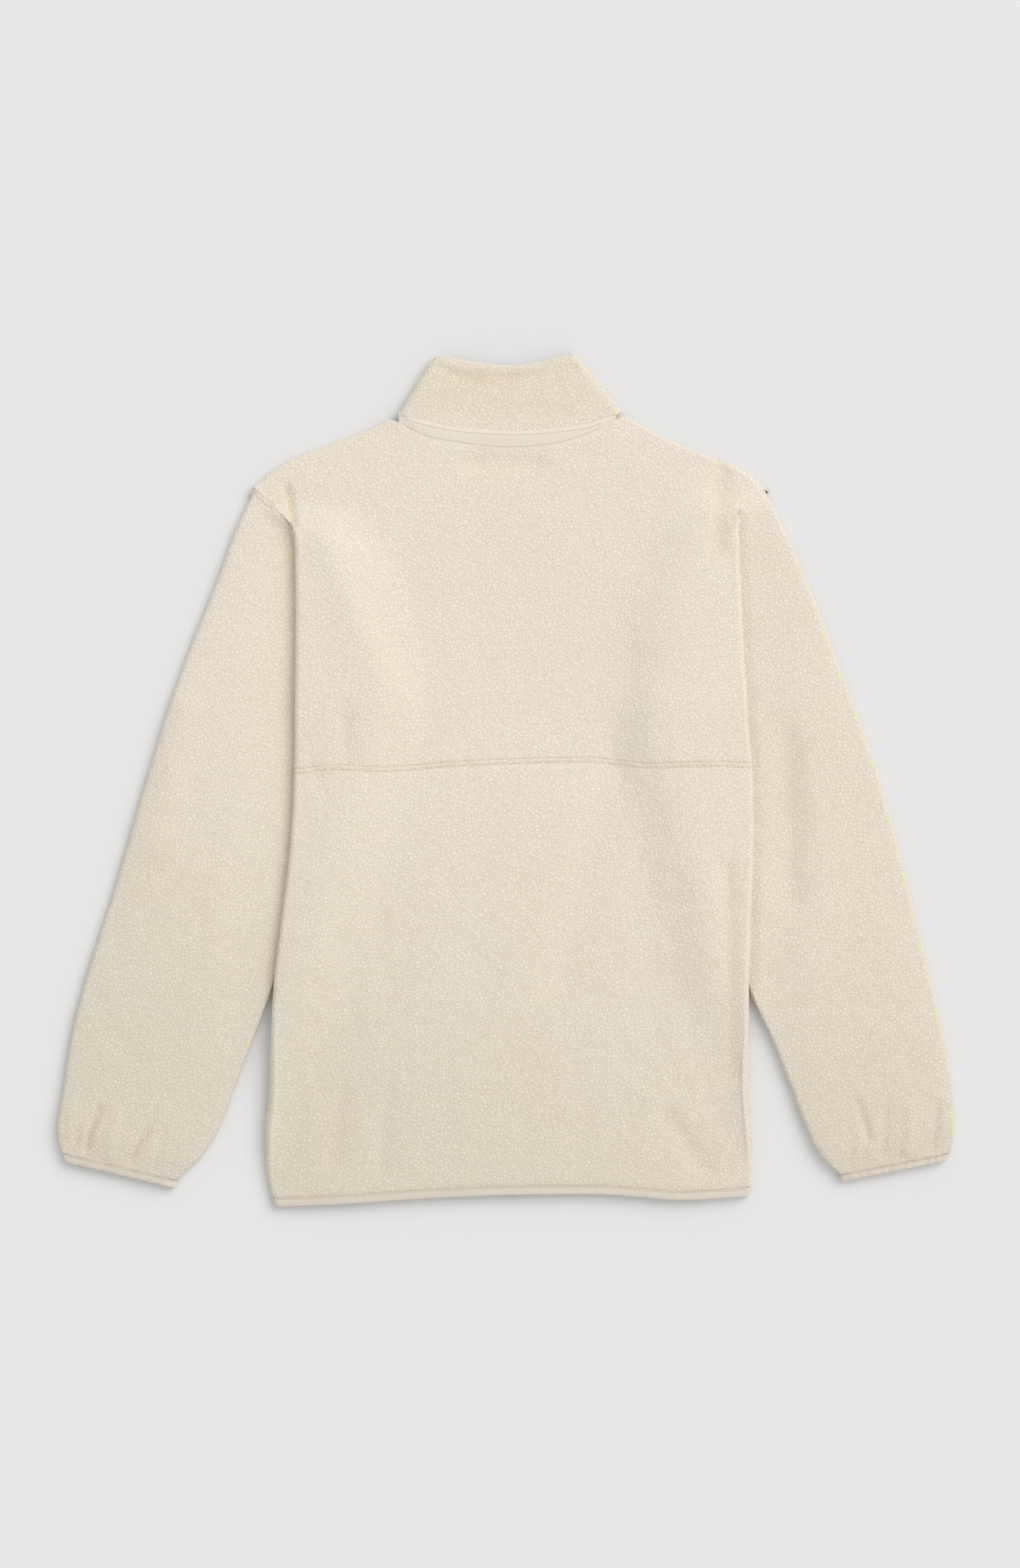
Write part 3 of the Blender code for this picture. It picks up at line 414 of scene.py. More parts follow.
def polyline_point(points, t):
    """Point at the share t of a table line's length, as a Vector in the plane."""
    spots = [Vector((p.x, p.y)) for p in points]
    lengths = [0.0]
    for a, b in zip(spots, spots[1:]):
        lengths.append(lengths[-1] + (b - a).length)
    at = t * lengths[-1]
    x = smooth_table(lengths, [p.x for p in spots], at)
    y = smooth_table(lengths, [p.y for p in spots], at)
    return Vector((x, y))


def lift(x, y, ramp):
    """How far a body layer stands above the floor where it climbs over a sleeve."""
    left = body_size("left_under", y) + UNDER_MARGIN
    right = body_size("right_under", y) - UNDER_MARGIN
    left_fades = smoothstep((y - LEFT_CREASE_Y) / LEFT_CREASE_FADE)
    right_fades = smoothstep((y - RIGHT_CREASE_Y) / RIGHT_CREASE_FADE)
    over_left = smoothstep((left + ramp - x) / ramp) * (1.0 - left_fades)
    over_right = smoothstep((x - right + ramp) / ramp) * (1.0 - right_fades)
    underarm = 1.0 + UNDERARM_RISE * math.exp(-(((y - UNDERARM_Y) / UNDERARM_REACH) ** 2))
    return (FOLD_HEIGHT + SEAM_GAP) * underarm * max(over_left, over_right)


def body_top(x, y):
    """Height of the back's outer side."""
    left = body_size("left_edge", y)
    right = body_size("right_edge", y)
    inside = smoothstep(min(x - left, right - x) / SIDE_SLOPE)
    below_shoulder = smoothstep((top_outline(x) - y) / SHOULDER_SLOPE)
    inside *= lerp(1.0, below_shoulder, roll_share(x))
    return FOLD_HEIGHT + (BODY_HEIGHT - FOLD_HEIGHT) * inside + lift(x, y, RAMP_TOP)


print("height of the back at the waist's middle", round(body_top(CENTRE_X, 0), 2), "mm")

# %% [markdown]
# Side folds
#
# A panel of cloth is bounded by four curved edges, and a blend of the four fills it with
# rows. At the sides the cloth turns round an arc and runs back underneath, so its points
# are found by walking that path. A bevel would give the arc, but not the hidden return.

# %% Side folds
def top_point(u, v, corners, foot, crest, left, right):
    """Bilinearly blended patch between four boundary curves, each a function of 0 to 1."""
    p00, p10, p01, p11 = corners
    edge = foot(u) * (1 - v) + crest(u) * v + left(v) * (1 - u) + right(v) * u
    flat = p00 * (1 - u) * (1 - v) + p10 * u * (1 - v) + p01 * (1 - u) * v + p11 * u * v
    return edge - flat


def patch(foot, crest, left, right):
    """A function for the points of a patch, from its four edges."""
    corners = (left(0), right(0), left(1), right(1))

    def point(u, v):
        return top_point(u, v, corners, foot, crest, left, right)

    return point


def wrap_path(distance, top_z, under_z):
    """Outward reach and height at a distance round a fold, from the top of its arc."""
    radius = (top_z - under_z) / 2
    if distance < math.pi * radius:
        turn = distance / radius
        return radius * math.sin(turn), (top_z + under_z) / 2 + radius * math.cos(turn)
    return -(distance - math.pi * radius), under_z


WRAP_COLUMNS = 12
WRAP_SPREAD = 1.7


def wrap_steps(length):
    """Distances round a fold, close together on its arc and wider on the hidden return."""
    return [length * (n / WRAP_COLUMNS) ** WRAP_SPREAD for n in range(1, WRAP_COLUMNS + 1)]


def side_wrap(side, y):
    """Top-of-arc x and the list of (x, z) points folded under, for one side at height y."""
    edge = body_size(side + "_edge", y)
    tuck = body_size(side + "_tuck", y)
    sign = -1.0 if side == "left" else 1.0
    under = lift(edge, y, RAMP_UNDER)
    top = body_top(edge, y)
    radius = (top - under) / 2
    reach = (edge - tuck) * sign
    length = max(EDGE_TURN, math.pi * radius + (reach - radius)) if reach > 2.5 else EDGE_TURN
    bulge = radius * math.sin(min(length / radius, math.pi / 2))
    start = edge - sign * bulge
    points = []
    for distance in wrap_steps(length):
        out, z = wrap_path(distance, top, under)
        x = start + sign * out
        if out < 0:
            z = lift(x, y, RAMP_UNDER)
        points.append((x, z))
    return start, points


print("at the waist the left fold's arc starts at x", round(side_wrap("left", 0)[0], 1))

# %% [markdown]
# Panels of the back
#
# Each back panel is one grid: its rows run from one folded-under side over the back to the
# other. The yoke adds rows that roll under past the shoulders. One grid has no seam at the
# folds, where two joined meshes would show one.

# %% Panels of the back
def back_grid(foot_y, crest_y, crest_rolls, shares, columns, side_low, side_high):
    """Outer points of a back panel with both side folds, from its foot line to its crest."""

    def left(v):
        y = lerp(side_low[0], side_high[0], v)
        return Vector((side_wrap("left", y)[0], y))

    def right(v):
        y = lerp(side_low[1], side_high[1], v)
        return Vector((side_wrap("right", y)[0], y))

    def along(line, a, b):
        def point(u):
            x = lerp(a.x, b.x, u)
            return Vector((x, line(x)))

        return point

    foot = along(foot_y, left(0), right(0))
    crest = along(crest_y, left(1), right(1))
    point = patch(foot, crest, left, right)
    grid = []
    for v in shares:
        row = []
        for u in columns:
            spot = point(u, v)
            z = body_top(spot.x, spot.y)
            row.append(Vector((spot.x, spot.y, z)))
        wraps = []
        for side, end in (("left", row[0]), ("right", row[-1])):
            folded = []
            for x, z in side_wrap(side, end.y)[1]:
                slant = (foot_y(x) - foot_y(end.x)) * (1 - v)
                if not crest_rolls:
                    slant += (crest_y(x) - crest_y(end.x)) * v
                folded.append(Vector((x, end.y + slant, z)))
            wraps.append(folded)
        for index in (0, -1):
            row[index].z = body_top(row[index].x, row[index].y)
        grid.append(list(reversed(wraps[0])) + row + wraps[1])
    if crest_rolls:
        grid += shoulder_roll(grid[-1], crest_rolls)
    return grid


ROLL_ROWS = 10


def shoulder_roll(crest, roll_at):
    """Rows rolled down and under past the shoulder line, and a plain edge along the neck."""
    rows = [[] for _ in range(ROLL_ROWS)]
    first, last = WRAP_COLUMNS, len(crest) - 1 - WRAP_COLUMNS
    for j, spot in enumerate(crest):
        middle = min(max(j, first), last)
        a = crest[max(middle - 1, first)]
        b = crest[min(middle + 1, last)]
        across = Vector((b.x - a.x, b.y - a.y, 0))
        across.normalize()
        outward = Vector((-across.y, across.x, 0))
        if outward.y < 0.3:
            outward = Vector((0, 1, 0))
        share = roll_at(spot.x)
        radius = spot.z / 2
        full = math.pi * radius + SHOULDER_RETURN
        length = lerp(EDGE_TURN, full, share)
        for n in range(ROLL_ROWS):
            distance = length * ((n + 1) / ROLL_ROWS) ** 1.4
            out, z = wrap_path(distance, spot.z, 0.0)
            rows[n].append(Vector((spot.x, spot.y, z)) + outward * out)
    return rows


# Columns of the yoke at its crest, closer where the shoulders meet the neck
YOKE_COLUMNS = (
    -227, -212, -194, -176, -158, -140, -124, -110, -101, -94.5, -85, -69, -48, -26, -4,
    18, 40, 60, 79, 93, 100, 108, 121, 137, 154, 174, 194, 214, 232,
)

# Heights of the panels' corners at the left and right side folds
WAIST_SIDES_Y = (7.3, 12.2)
ARMHOLE_TOPS_Y = (257, 259)
HEM_SIDES_Y = (-377.7, -366.5)
print(len(YOKE_COLUMNS), "columns across the yoke, and", WRAP_COLUMNS, "round each side fold")

# %% [markdown]
# A flattened sleeve
#
# A sleeve that lies flat is a tube whose section is two straight layers and two round
# folds. Squashing a cylinder would thin its folds. Walking round the section keeps them
# round, and its places are spread evenly on both layers.

# %% A flattened sleeve
# A place on a flattened tube: distance from its inner edge, height, and how far up it faces
Place = namedtuple("Place", "s z out_z")
TUBE_TOP, TUBE_UNDER, TUBE_ARC = 15, 11, 6  # steps along each layer and round each fold
SLIT_GAP = 0.2


def flat_tube(width, height, start):
    """Places round a flattened tube that lies on the floor, from its slit to the slit again."""
    radius = height / 2
    places = []

    def run(a, b, steps, z, out_z):
        for n in range(steps):
            places.append(Place(lerp(a, b, n / steps), z, out_z))

    def arc(centre, sign, from_under):
        for n in range(TUBE_ARC):
            turn = math.pi * n / TUBE_ARC
            rise = -math.cos(turn) if from_under else math.cos(turn)
            out = sign * math.sin(turn)
            places.append(Place(centre + radius * out, radius + radius * rise, rise))

    run(start, radius, 1, 0.0, -1.0)
    arc(radius, -1.0, True)
    run(radius, width - radius, TUBE_TOP, height, 1.0)
    arc(width - radius, 1.0, False)
    end = start + SEAM_GAP + SLIT_GAP
    run(width - radius, end, TUBE_UNDER, 0.0, -1.0)
    places.append(Place(end, 0.0, -1.0))
    return places


SLEEVE_SLIT = 14.0  # the underarm seam lies this far inside the inner edge
SLEEVE_SWELL = 4.0
SWELL_START = 6.0  # from the body's side fold
SWELL_REACH = 60.0
SLEEVE_CLEAR = 0.002  # the sleeve starts this share of its length past the armhole


def sleeve_swell(side, x, y, u):
    """Air in the sleeve where nothing lies on it."""
    sign = -1.0 if side == "left" else 1.0
    clear = (x - body_size(side + "_edge", y)) * sign - SWELL_START
    return SLEEVE_SWELL * smoothstep(clear / SWELL_REACH) * (4 * u * (1 - u)) ** 0.6


print("a sleeve is up to", FOLD_HEIGHT + SLEEVE_SWELL, "mm high")

# %% [markdown]
# Materials
#
# The fleece is a knitted ground whose pile is brushed and tumbled into round pebbles of
# about 3 mm. It has no shine of its own, only the soft bloom of fibre ends. Voronoi cells
# that are bent by noise give the pebbles their uneven size, finer noise gives the fibres,
# and painted shade makes the valleys between pebbles a little darker. The bindings are a
# smooth rib knit of the same yarn. All finishes are procedural, on Object coordinates, so
# a pebble has its real size on every piece. A photographed texture would stretch over the
# folds.

# %% Materials
Tone = namedtuple("Tone", "light dark")
# The fleece's dark tone is painted shade for the valleys between its pebbles.
FLEECE_TONE_AND_VALLEY_SHADE = Tone((0.86, 0.795, 0.68), (0.65, 0.555, 0.425))
BINDING_TONE = Tone((0.80, 0.74, 0.65), (0.68, 0.61, 0.51))
THREAD_TONE = Tone((0.66, 0.58, 0.46), (0.5, 0.42, 0.31))
TAPE_TONE = Tone((0.68, 0.60, 0.48), (0.55, 0.47, 0.36))
METAL_TONE = Tone((0.56, 0.55, 0.53), (0.36, 0.35, 0.34))
SHEEN_ROUGHNESS, SPECULAR = 0.5, 0.2


class Nodes:
    """A material's node tree with short calls for the nodes used here."""

    def __init__(self, name):
        self.material = bpy.data.materials.new(name)
        self.material.use_nodes = True
        self.tree = self.material.node_tree
        self.shader = self.tree.nodes["Principled BSDF"]
        self.place = self.add("ShaderNodeTexCoord").outputs["Object"]

    def add(self, kind, **settings):
        node = self.tree.nodes.new(kind)
        for key, value in settings.items():
            setattr(node, key, value)
        return node

    def link(self, source, target):
        self.tree.links.new(source, target)

    def noise(self, size, detail=2.0):
        node = self.add("ShaderNodeTexNoise")
        node.inputs["Scale"].default_value = 1.0 / (size * MM)
        node.inputs["Detail"].default_value = detail
        self.link(self.place, node.inputs["Vector"])
        return node.outputs["Fac"]

    def math(self, operation, a, b=0.0):
        node = self.add("ShaderNodeMath", operation=operation)
        for socket, value in zip(node.inputs, (a, b)):
            if isinstance(value, (int, float)):
                socket.default_value = value
            else:
                self.link(value, socket)
        return node.outputs[0]

    def stretch(self, value, low, high, to_low=0.0, to_high=1.0):
        node = self.add("ShaderNodeMapRange")
        numbers = {"From Min": low, "From Max": high, "To Min": to_low, "To Max": to_high}
        for socket, number in numbers.items():
            node.inputs[socket].default_value = number
        self.link(value, node.inputs["Value"])
        return node.outputs["Result"]

    def mix(self, share, a, b, blend="MIX"):
        node = self.add("ShaderNodeMix", data_type="RGBA", blend_type=blend)
        sockets = node.inputs[0], node.inputs[6], node.inputs[7]
        for socket, value in zip(sockets, (share, a, b)):
            if isinstance(value, tuple):
                socket.default_value = (*value, 1)
            elif isinstance(value, (int, float)):
                socket.default_value = value
            else:
                self.link(value, socket)
        return node.outputs[2]

    def bump(self, height, strength, distance, normal=None):
        node = self.add("ShaderNodeBump")
        node.inputs["Strength"].default_value = strength
        node.inputs["Distance"].default_value = distance * MM
        self.link(height, node.inputs["Height"])
        if normal:
            self.link(normal, node.inputs["Normal"])
        return node.outputs["Normal"]

    def axis(self, name):
        node = self.add("ShaderNodeSeparateXYZ")
        self.link(self.place, node.inputs[0])
        return node.outputs[name]

    def finish(self, colour, normal, roughness, sheen=0.0, metallic=0.0):
        self.link(colour, self.shader.inputs["Base Color"])
        self.link(normal, self.shader.inputs["Normal"])
        if isinstance(roughness, float):
            self.shader.inputs["Roughness"].default_value = roughness
        else:
            self.link(roughness, self.shader.inputs["Roughness"])
        self.shader.inputs["Sheen Weight"].default_value = sheen
        self.shader.inputs["Sheen Roughness"].default_value = SHEEN_ROUGHNESS
        self.shader.inputs["Specular IOR Level"].default_value = SPECULAR
        self.shader.inputs["Metallic"].default_value = metallic
        return self.material


print("light and dark of the pile", FLEECE_TONE_AND_VALLEY_SHADE)

# %% [markdown]
# Drift of tone, and painted shade
#
# One dye lot still looks a little different from place to place: pinker on the right
# sleeve. Painted shade makes it darker and greener towards the hem and the lower left, where
# less light falls from the upper right, and darker and warmer in the hollows, for shade and
# light bounced from fibre to fibre. Slow multiplied tints do this in one place for all
# finishes. Painting each piece would break the tone at its seams.

# %% Drift of tone, and painted shade
Tint = namedtuple("Tint", "start end colour")
COLLAR_TINT = Tint(0.318, 0.336, (0.965, 0.955, 0.93))  # up the jacket, in metres
# Painted shade: darker and greener down the jacket and to its lower left, on a slant.
HEM_PAINTED_SHADE = Tint(0.02, -0.40, (0.88, 0.885, 0.86))  # down the jacket, on a slant
RIGHT_TINT = Tint(0.22, 0.32, (0.955, 0.95, 0.935))  # out along the right sleeve
SHADE_SLANT = 0.45
# Painted shade and painted bounce light: darker and warmer where the hollows are marked.
PAINTED_SHADE_TINT = (0.90, 0.845, 0.755)
CLOUD_TINT, CLOUD_SIZE, CLOUD_SHARE = (0.985, 0.965, 0.955), 140, 0.5


def tone_and_painted_shade(nodes, colour):
    """Slow change of tone, with painted shade in hollows and to the lower left."""
    # Painted shade: the marked hollows are made darker and warmer.
    painted_shade = nodes.add("ShaderNodeAttribute", attribute_name="painted_shade").outputs["Fac"]
    colour = nodes.mix(painted_shade, colour, PAINTED_SHADE_TINT, "MULTIPLY")
    # The slant of the painted shade, down and to the left.
    slant = nodes.math("ADD", nodes.axis("Y"), nodes.math("MULTIPLY", nodes.axis("X"), SHADE_SLANT))
    up, across = nodes.axis("Y"), nodes.axis("X")
    for along, tint in ((up, COLLAR_TINT), (slant, HEM_PAINTED_SHADE), (across, RIGHT_TINT)):
        share = nodes.stretch(along, tint.start, tint.end)
        colour = nodes.mix(share, colour, tint.colour, "MULTIPLY")
    cloud = nodes.stretch(nodes.noise(CLOUD_SIZE, 1.0), 0.35, 0.65)
    return nodes.mix(nodes.math("MULTIPLY", cloud, CLOUD_SHARE), colour, CLOUD_TINT, "MULTIPLY")


print("the collar's tint begins at y", COLLAR_TINT.start, "m")

# %% [markdown]
# Pile fleece
#
# Short pile that is brushed and tumbled curls up into round pebbles. Real hair would be far
# too heavy for a whole jacket, and a displaced mesh too. Voronoi cells, bent by noise so
# that no two are alike, are a bump, and painted shade darkens the valleys between them. The
# pressed kind, on the neck band, has less relief and less painted shade.

# %% Pile fleece
PEBBLE = 3.3  # mm, from one curl to the next
BEND_SIZE, BEND_REACH = 5.0, 3.5  # the noise that makes them uneven
FIBRE_TINT = (0.9, 0.84, 0.74)


def fleece_material(name, relief):
    """Pebbled pile. Relief 1 is loose, and less is pressed."""
    nodes = Nodes(name)
    bend = nodes.add("ShaderNodeTexNoise")
    bend.inputs["Scale"].default_value = 1.0 / (BEND_SIZE * MM)
    nodes.link(nodes.place, bend.inputs["Vector"])
    push = nodes.add("ShaderNodeVectorMath", operation="MULTIPLY_ADD")
    nodes.link(bend.outputs["Color"], push.inputs[0])
    push.inputs[1].default_value = (BEND_REACH * MM,) * 3
    nodes.link(nodes.place, push.inputs[2])
    cells = nodes.add("ShaderNodeTexVoronoi", feature="DISTANCE_TO_EDGE")
    cells.inputs["Scale"].default_value = 1.0 / (PEBBLE * MM)
    nodes.link(push.outputs[0], cells.inputs["Vector"])
    pebble = nodes.stretch(cells.outputs["Distance"], 0.0, 0.34)
    rounded = nodes.math("POWER", pebble, 0.55)
    fibre = nodes.noise(0.9, 3.0)
    height = nodes.math("ADD", rounded, nodes.math("MULTIPLY", fibre, 0.35))
    normal = nodes.bump(nodes.noise(9.0, 1.0), 0.25, 0.8)
    normal = nodes.bump(height, 0.5 * relief, 0.9, normal)
    # Painted shade: the valleys between pebbles are darker, less so where the pile is pressed.
    colour = nodes.mix(nodes.stretch(pebble, 0.0, 0.45), FLEECE_TONE_AND_VALLEY_SHADE.dark, FLEECE_TONE_AND_VALLEY_SHADE.light)
    colour = nodes.mix(1.0 - 0.45 * relief, colour, FLEECE_TONE_AND_VALLEY_SHADE.light)
    colour = nodes.mix(nodes.stretch(fibre, 0.3, 0.7, 0.0, 0.12), colour, FIBRE_TINT)
    return nodes.finish(tone_and_painted_shade(nodes, colour), normal, 0.95, sheen=0.25)


fleece = fleece_material("cream_fleece_pile", 1.0)
pressed_fleece = fleece_material("cream_fleece_pressed", 0.45)
print("pebbles of", PEBBLE, "mm on", fleece.name)

# %% [markdown]
# Binding, thread, tape and metal
#
# The bindings are a smooth rib of the same yarn, the thread is twisted, the zip's tape is
# woven, and its slider is cast and brushed. Each gets the one pattern that its making
# leaves: fine waves for ribs and picks, noise for fuzz, twist and wear. A plain colour
# would look like plastic at this distance.

# %% Binding, thread, tape and metal
def binding_material():
    """Smooth rib knit: fine ribs, almost flat."""
    nodes = Nodes("cream_binding_knit")
    ribs = nodes.add("ShaderNodeTexWave", wave_type="BANDS", bands_direction="DIAGONAL")
    ribs.inputs["Scale"].default_value = 1.0 / (1.6 * MM) / 20
    ribs.inputs["Distortion"].default_value = 1.5
    nodes.link(nodes.place, ribs.inputs["Vector"])
    fuzz = nodes.noise(1.2, 3.0)
    height = nodes.math("ADD", nodes.math("MULTIPLY", ribs.outputs["Fac"], 0.4), fuzz)
    colour = nodes.mix(nodes.stretch(fuzz, 0.3, 0.7), BINDING_TONE.dark, BINDING_TONE.light)
    colour = nodes.mix(0.6, colour, BINDING_TONE.light)
    return nodes.finish(tone_and_painted_shade(nodes, colour), nodes.bump(height, 0.4, 0.5), 0.9, sheen=0.2)


def thread_material():
    """Twisted sewing thread, a shade darker than the cloth."""
    nodes = Nodes("sewing_thread")
    twist = nodes.noise(0.35, 2.0)
    colour = nodes.mix(twist, THREAD_TONE.dark, THREAD_TONE.light)
    return nodes.finish(tone_and_painted_shade(nodes, colour), nodes.bump(twist, 0.5, 0.2), 0.75, sheen=0.1)


def tape_material():
    """Woven zip tape: a fine herringbone of dark and light picks."""
    nodes = Nodes("zip_tape_weave")
    picks = nodes.add("ShaderNodeTexWave", wave_type="BANDS", bands_direction="Y")
    picks.inputs["Scale"].default_value = 1.0 / (0.9 * MM) / 20
    nodes.link(nodes.place, picks.inputs["Vector"])
    fuzz = nodes.noise(0.8, 2.0)
    height = nodes.math("ADD", picks.outputs["Fac"], nodes.math("MULTIPLY", fuzz, 0.5))
    colour = nodes.mix(nodes.stretch(height, 0.2, 1.2), TAPE_TONE.dark, TAPE_TONE.light)
    return nodes.finish(colour, nodes.bump(height, 0.5, 0.25), 0.8, sheen=0.1)


def metal_material():
    """Cast and brushed zip metal, duller where it is handled."""
    nodes = Nodes("zip_metal_satin")
    wear = nodes.noise(3.0, 4.0)
    grain = nodes.noise(0.25, 3.0)
    colour = nodes.mix(nodes.stretch(wear, 0.3, 0.7), METAL_TONE.dark, METAL_TONE.light)
    roughness = nodes.stretch(wear, 0.3, 0.7, 0.28, 0.5)
    return nodes.finish(colour, nodes.bump(grain, 0.25, 0.1), roughness, metallic=1.0)


binding = binding_material()
thread = thread_material()
tape = tape_material()
metal = metal_material()
print("materials", [m.name for m in bpy.data.materials])

# %% [markdown]
# Helpers for sheets of cloth
#
# A sheet starts as a coarse grid of points on the outer side of its solid, about 10 mm
# apart. Two levels of subdivision make it smooth, the creases and seams are pressed into
# it at 2.5 mm, and the wall is added on the inside. Sculpting or a simulation could make
# folds too, but points that are placed by a table land where the real folds lie.

# %% Helpers for sheets of cloth
CLOTH_WALL = 3.2  # the pile's bump makes up the rest of the 4 mm


def select_only(obj):
    """Operators act on all that is selected, so only this piece is."""
    for other in bpy.context.selected_objects:
        other.select_set(False)
    obj.select_set(True)
    bpy.context.view_layer.objects.active = obj


def apply_modifier(obj, kind, **settings):
    """Adds a modifier and applies it at once."""
    select_only(obj)
    modifier = obj.modifiers.new(kind.title(), kind)
    for key, value in settings.items():
        setattr(modifier, key, value)
    bpy.ops.object.modifier_apply(modifier=modifier.name)


def new_object(name, verts, faces):
    """A piece from points in metres and faces."""
    mesh = bpy.data.meshes.new(name)
    mesh.from_pydata(verts, [], faces)
    mesh.update()
    obj = bpy.data.objects.new(name, mesh)
    scene.collection.objects.link(obj)
    return obj


def grid_object(name, grid):
    """An open sheet from rows of outer points in millimetres."""
    count = len(grid[0])
    verts = [tuple(point * MM) for row in grid for point in row]
    faces = []
    for i in range(len(grid) - 1):
        for j in range(count - 1):
            a = i * count + j
            faces.append((a, a + 1, a + count + 1, a + count))
    return new_object(name, verts, faces)


def subdivide(obj, levels):
    """Rounds the mesh off, and keeps the corners of an open edge."""
    settings = {"levels": levels, "render_levels": levels}
    apply_modifier(obj, "SUBSURF", boundary_smooth="PRESERVE_CORNERS", **settings)


print("wall of a sheet", CLOTH_WALL, "mm")

# %% [markdown]
# Pressing creases into a sheet
#
# A crease in fleece is a soft dent or ridge a few millimetres wide. Sculpt strokes could
# make them, but not twice in the same place. Each crease here is a line with a width and a
# rise, and moves the nearby points along their normals. Hollows, where painted shade makes
# the finish darker and warmer, are marked on the points in the same way.

# %% Pressing creases into a sheet
def read_points(obj):
    """Vertices in millimetres and their normals, as arrays."""
    count = len(obj.data.vertices)
    points, normals = np.empty(count * 3), np.empty(count * 3)
    obj.data.vertices.foreach_get("co", points)
    obj.data.vertices.foreach_get("normal", normals)
    return points.reshape(-1, 3) / MM, normals.reshape(-1, 3)


def write_points(obj, points):
    """Puts the points back, none of them below the board."""
    points = points.copy()
    points[:, 2] = np.maximum(points[:, 2], 0.0)
    obj.data.vertices.foreach_set("co", (points * MM).ravel())
    obj.data.update()


Crease = namedtuple("Crease", "points width rise")


def fold_crease(fold, share=1.0):
    """One of the solids' folds as a crease."""
    return Crease([(fold.x0, fold.y0), (fold.x1, fold.y1)], fold.width, fold.rise * share)


def line_distance(points, x, y):
    """Distance from places in the plane to a line through points."""
    nearest = np.full(len(x), 1e9)
    for (x0, y0), (x1, y1) in zip(points, points[1:]):
        dx, dy = x1 - x0, y1 - y0
        t = np.clip(((x - x0) * dx + (y - y0) * dy) / (dx * dx + dy * dy), 0, 1)
        nearest = np.minimum(nearest, np.hypot(x - x0 - dx * t, y - y0 - dy * t))
    return nearest


def press(obj, creases, side=1.0):
    """Presses creases into the upper side (1) or the under side (-1)."""
    points, normals = read_points(obj)
    facing = np.clip(normals[:, 2] * side, 0, 1)
    near = facing > 0.2
    amount = np.zeros(len(points))
    for crease in creases:
        off = line_distance(crease.points, points[near, 0], points[near, 1])
        amount[near] += crease.rise * np.exp(-2 * (off / crease.width) ** 2)
    points += normals * (amount * facing)[:, None]
    write_points(obj, points)


def paint_shade(obj, hollows):
    """Marks hollows for painted shade: a darker, warmer finish for shade and bounced light."""
    points, normals = read_points(obj)
    share = np.zeros(len(points))
    for crease in hollows:
        off = line_distance(crease.points, points[:, 0], points[:, 1])
        share = np.maximum(share, crease.rise * np.exp(-2 * (off / crease.width) ** 2))
    share *= np.clip(normals[:, 2] + 0.3, 0, 1)
    layer = obj.data.attributes.new("painted_shade", "FLOAT", "POINT")
    layer.data.foreach_set("value", share)


print("a fold as a crease:", fold_crease(BODY_FOLDS[0]))

# %% [markdown]
# Uneven pile, and the wall
#
# No brushed cloth is level. Two clouds of noise, one as small as the pile's lumps and one
# as wide as a thumb, lift and lower it by parts of a millimetre. Then the sheet gets its
# wall on the inside, and nothing is allowed below the board.

# %% Uneven pile, and the wall
def pile_texture(name, size):
    """A cloud of noise whose lumps are about this many millimetres wide."""
    texture = bpy.data.textures.new(name, "CLOUDS")
    texture.noise_scale = size * MM
    texture.noise_depth = 1
    return texture


PILE_LUMPS = pile_texture("pile_lumps", 6.0)
PILE_WAVES = pile_texture("pile_waves", 26.0)


def ruffle(obj, lumps, waves):
    """Uneven pile: small lumps, and wide shallow waves, in millimetres."""
    for texture, strength in ((PILE_LUMPS, lumps), (PILE_WAVES, waves)):
        if strength:
            apply_modifier(obj, "DISPLACE", texture=texture, strength=strength * MM, mid_level=0.5)
    write_points(obj, read_points(obj)[0])


def thicken(obj, wall=CLOTH_WALL):
    """Gives an open sheet its wall, on the inside."""
    apply_modifier(obj, "SOLIDIFY", thickness=wall * MM, offset=-1.0)
    write_points(obj, read_points(obj)[0])


print("textures", [texture.name for texture in bpy.data.textures])

# %% [markdown]
# Finer copies of a solid
#
# Where a piece is small or hidden, its solid already has the right form and only lacks
# roundness. Its mesh is copied, merged into quads, its true edges are creased, and it is
# subdivided. Drawing it again would only risk a shift.

# %% Finer copies of a solid
SOLID_LEVELS = 3
MERGE = 0.02  # mm
QUAD_ANGLE, SHARP_EDGE, SMOOTH_ANGLE = math.radians(60), math.radians(40), math.radians(45)
EDGE_CREASE = 0.85  # 1 would keep an edge quite sharp


def copy_solid(node, name):
    """A finer copy of a CAD node's own mesh."""
    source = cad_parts[node]
    obj = bpy.data.objects.new(name, source.data.copy())
    scene.collection.objects.link(obj)
    select_only(obj)
    bpy.ops.object.mode_set(mode="EDIT")
    bpy.ops.mesh.select_all(action="SELECT")
    bpy.ops.mesh.remove_doubles(threshold=MERGE * MM)
    bpy.ops.mesh.tris_convert_to_quads(face_threshold=QUAD_ANGLE, shape_threshold=QUAD_ANGLE)
    bpy.ops.mesh.mark_sharp(clear=True)
    bpy.ops.mesh.select_all(action="DESELECT")
    bpy.ops.mesh.edges_select_sharp(sharpness=SHARP_EDGE)
    bpy.ops.transform.edge_crease(value=EDGE_CREASE)
    bpy.ops.object.mode_set(mode="OBJECT")
    obj.data.materials.clear()
    subdivide(obj, SOLID_LEVELS)
    return obj


def finish_piece(obj, node, material):
    """Finish, smooth shading, and what the piece rides on and stands for."""
    obj.data.materials.clear()
    obj.data.materials.append(material)
    obj.data.shade_smooth()
    obj.data.set_sharp_from_angle(angle=SMOOTH_ANGLE)
    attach(obj, "jacket")
    if node:
        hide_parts(node)
    triangles = sum(len(face.vertices) - 2 for face in obj.data.polygons)
    print(obj.name, triangles, "triangles")
    return obj


print("edges sharper than", round(math.degrees(SHARP_EDGE)), "degrees are creased")

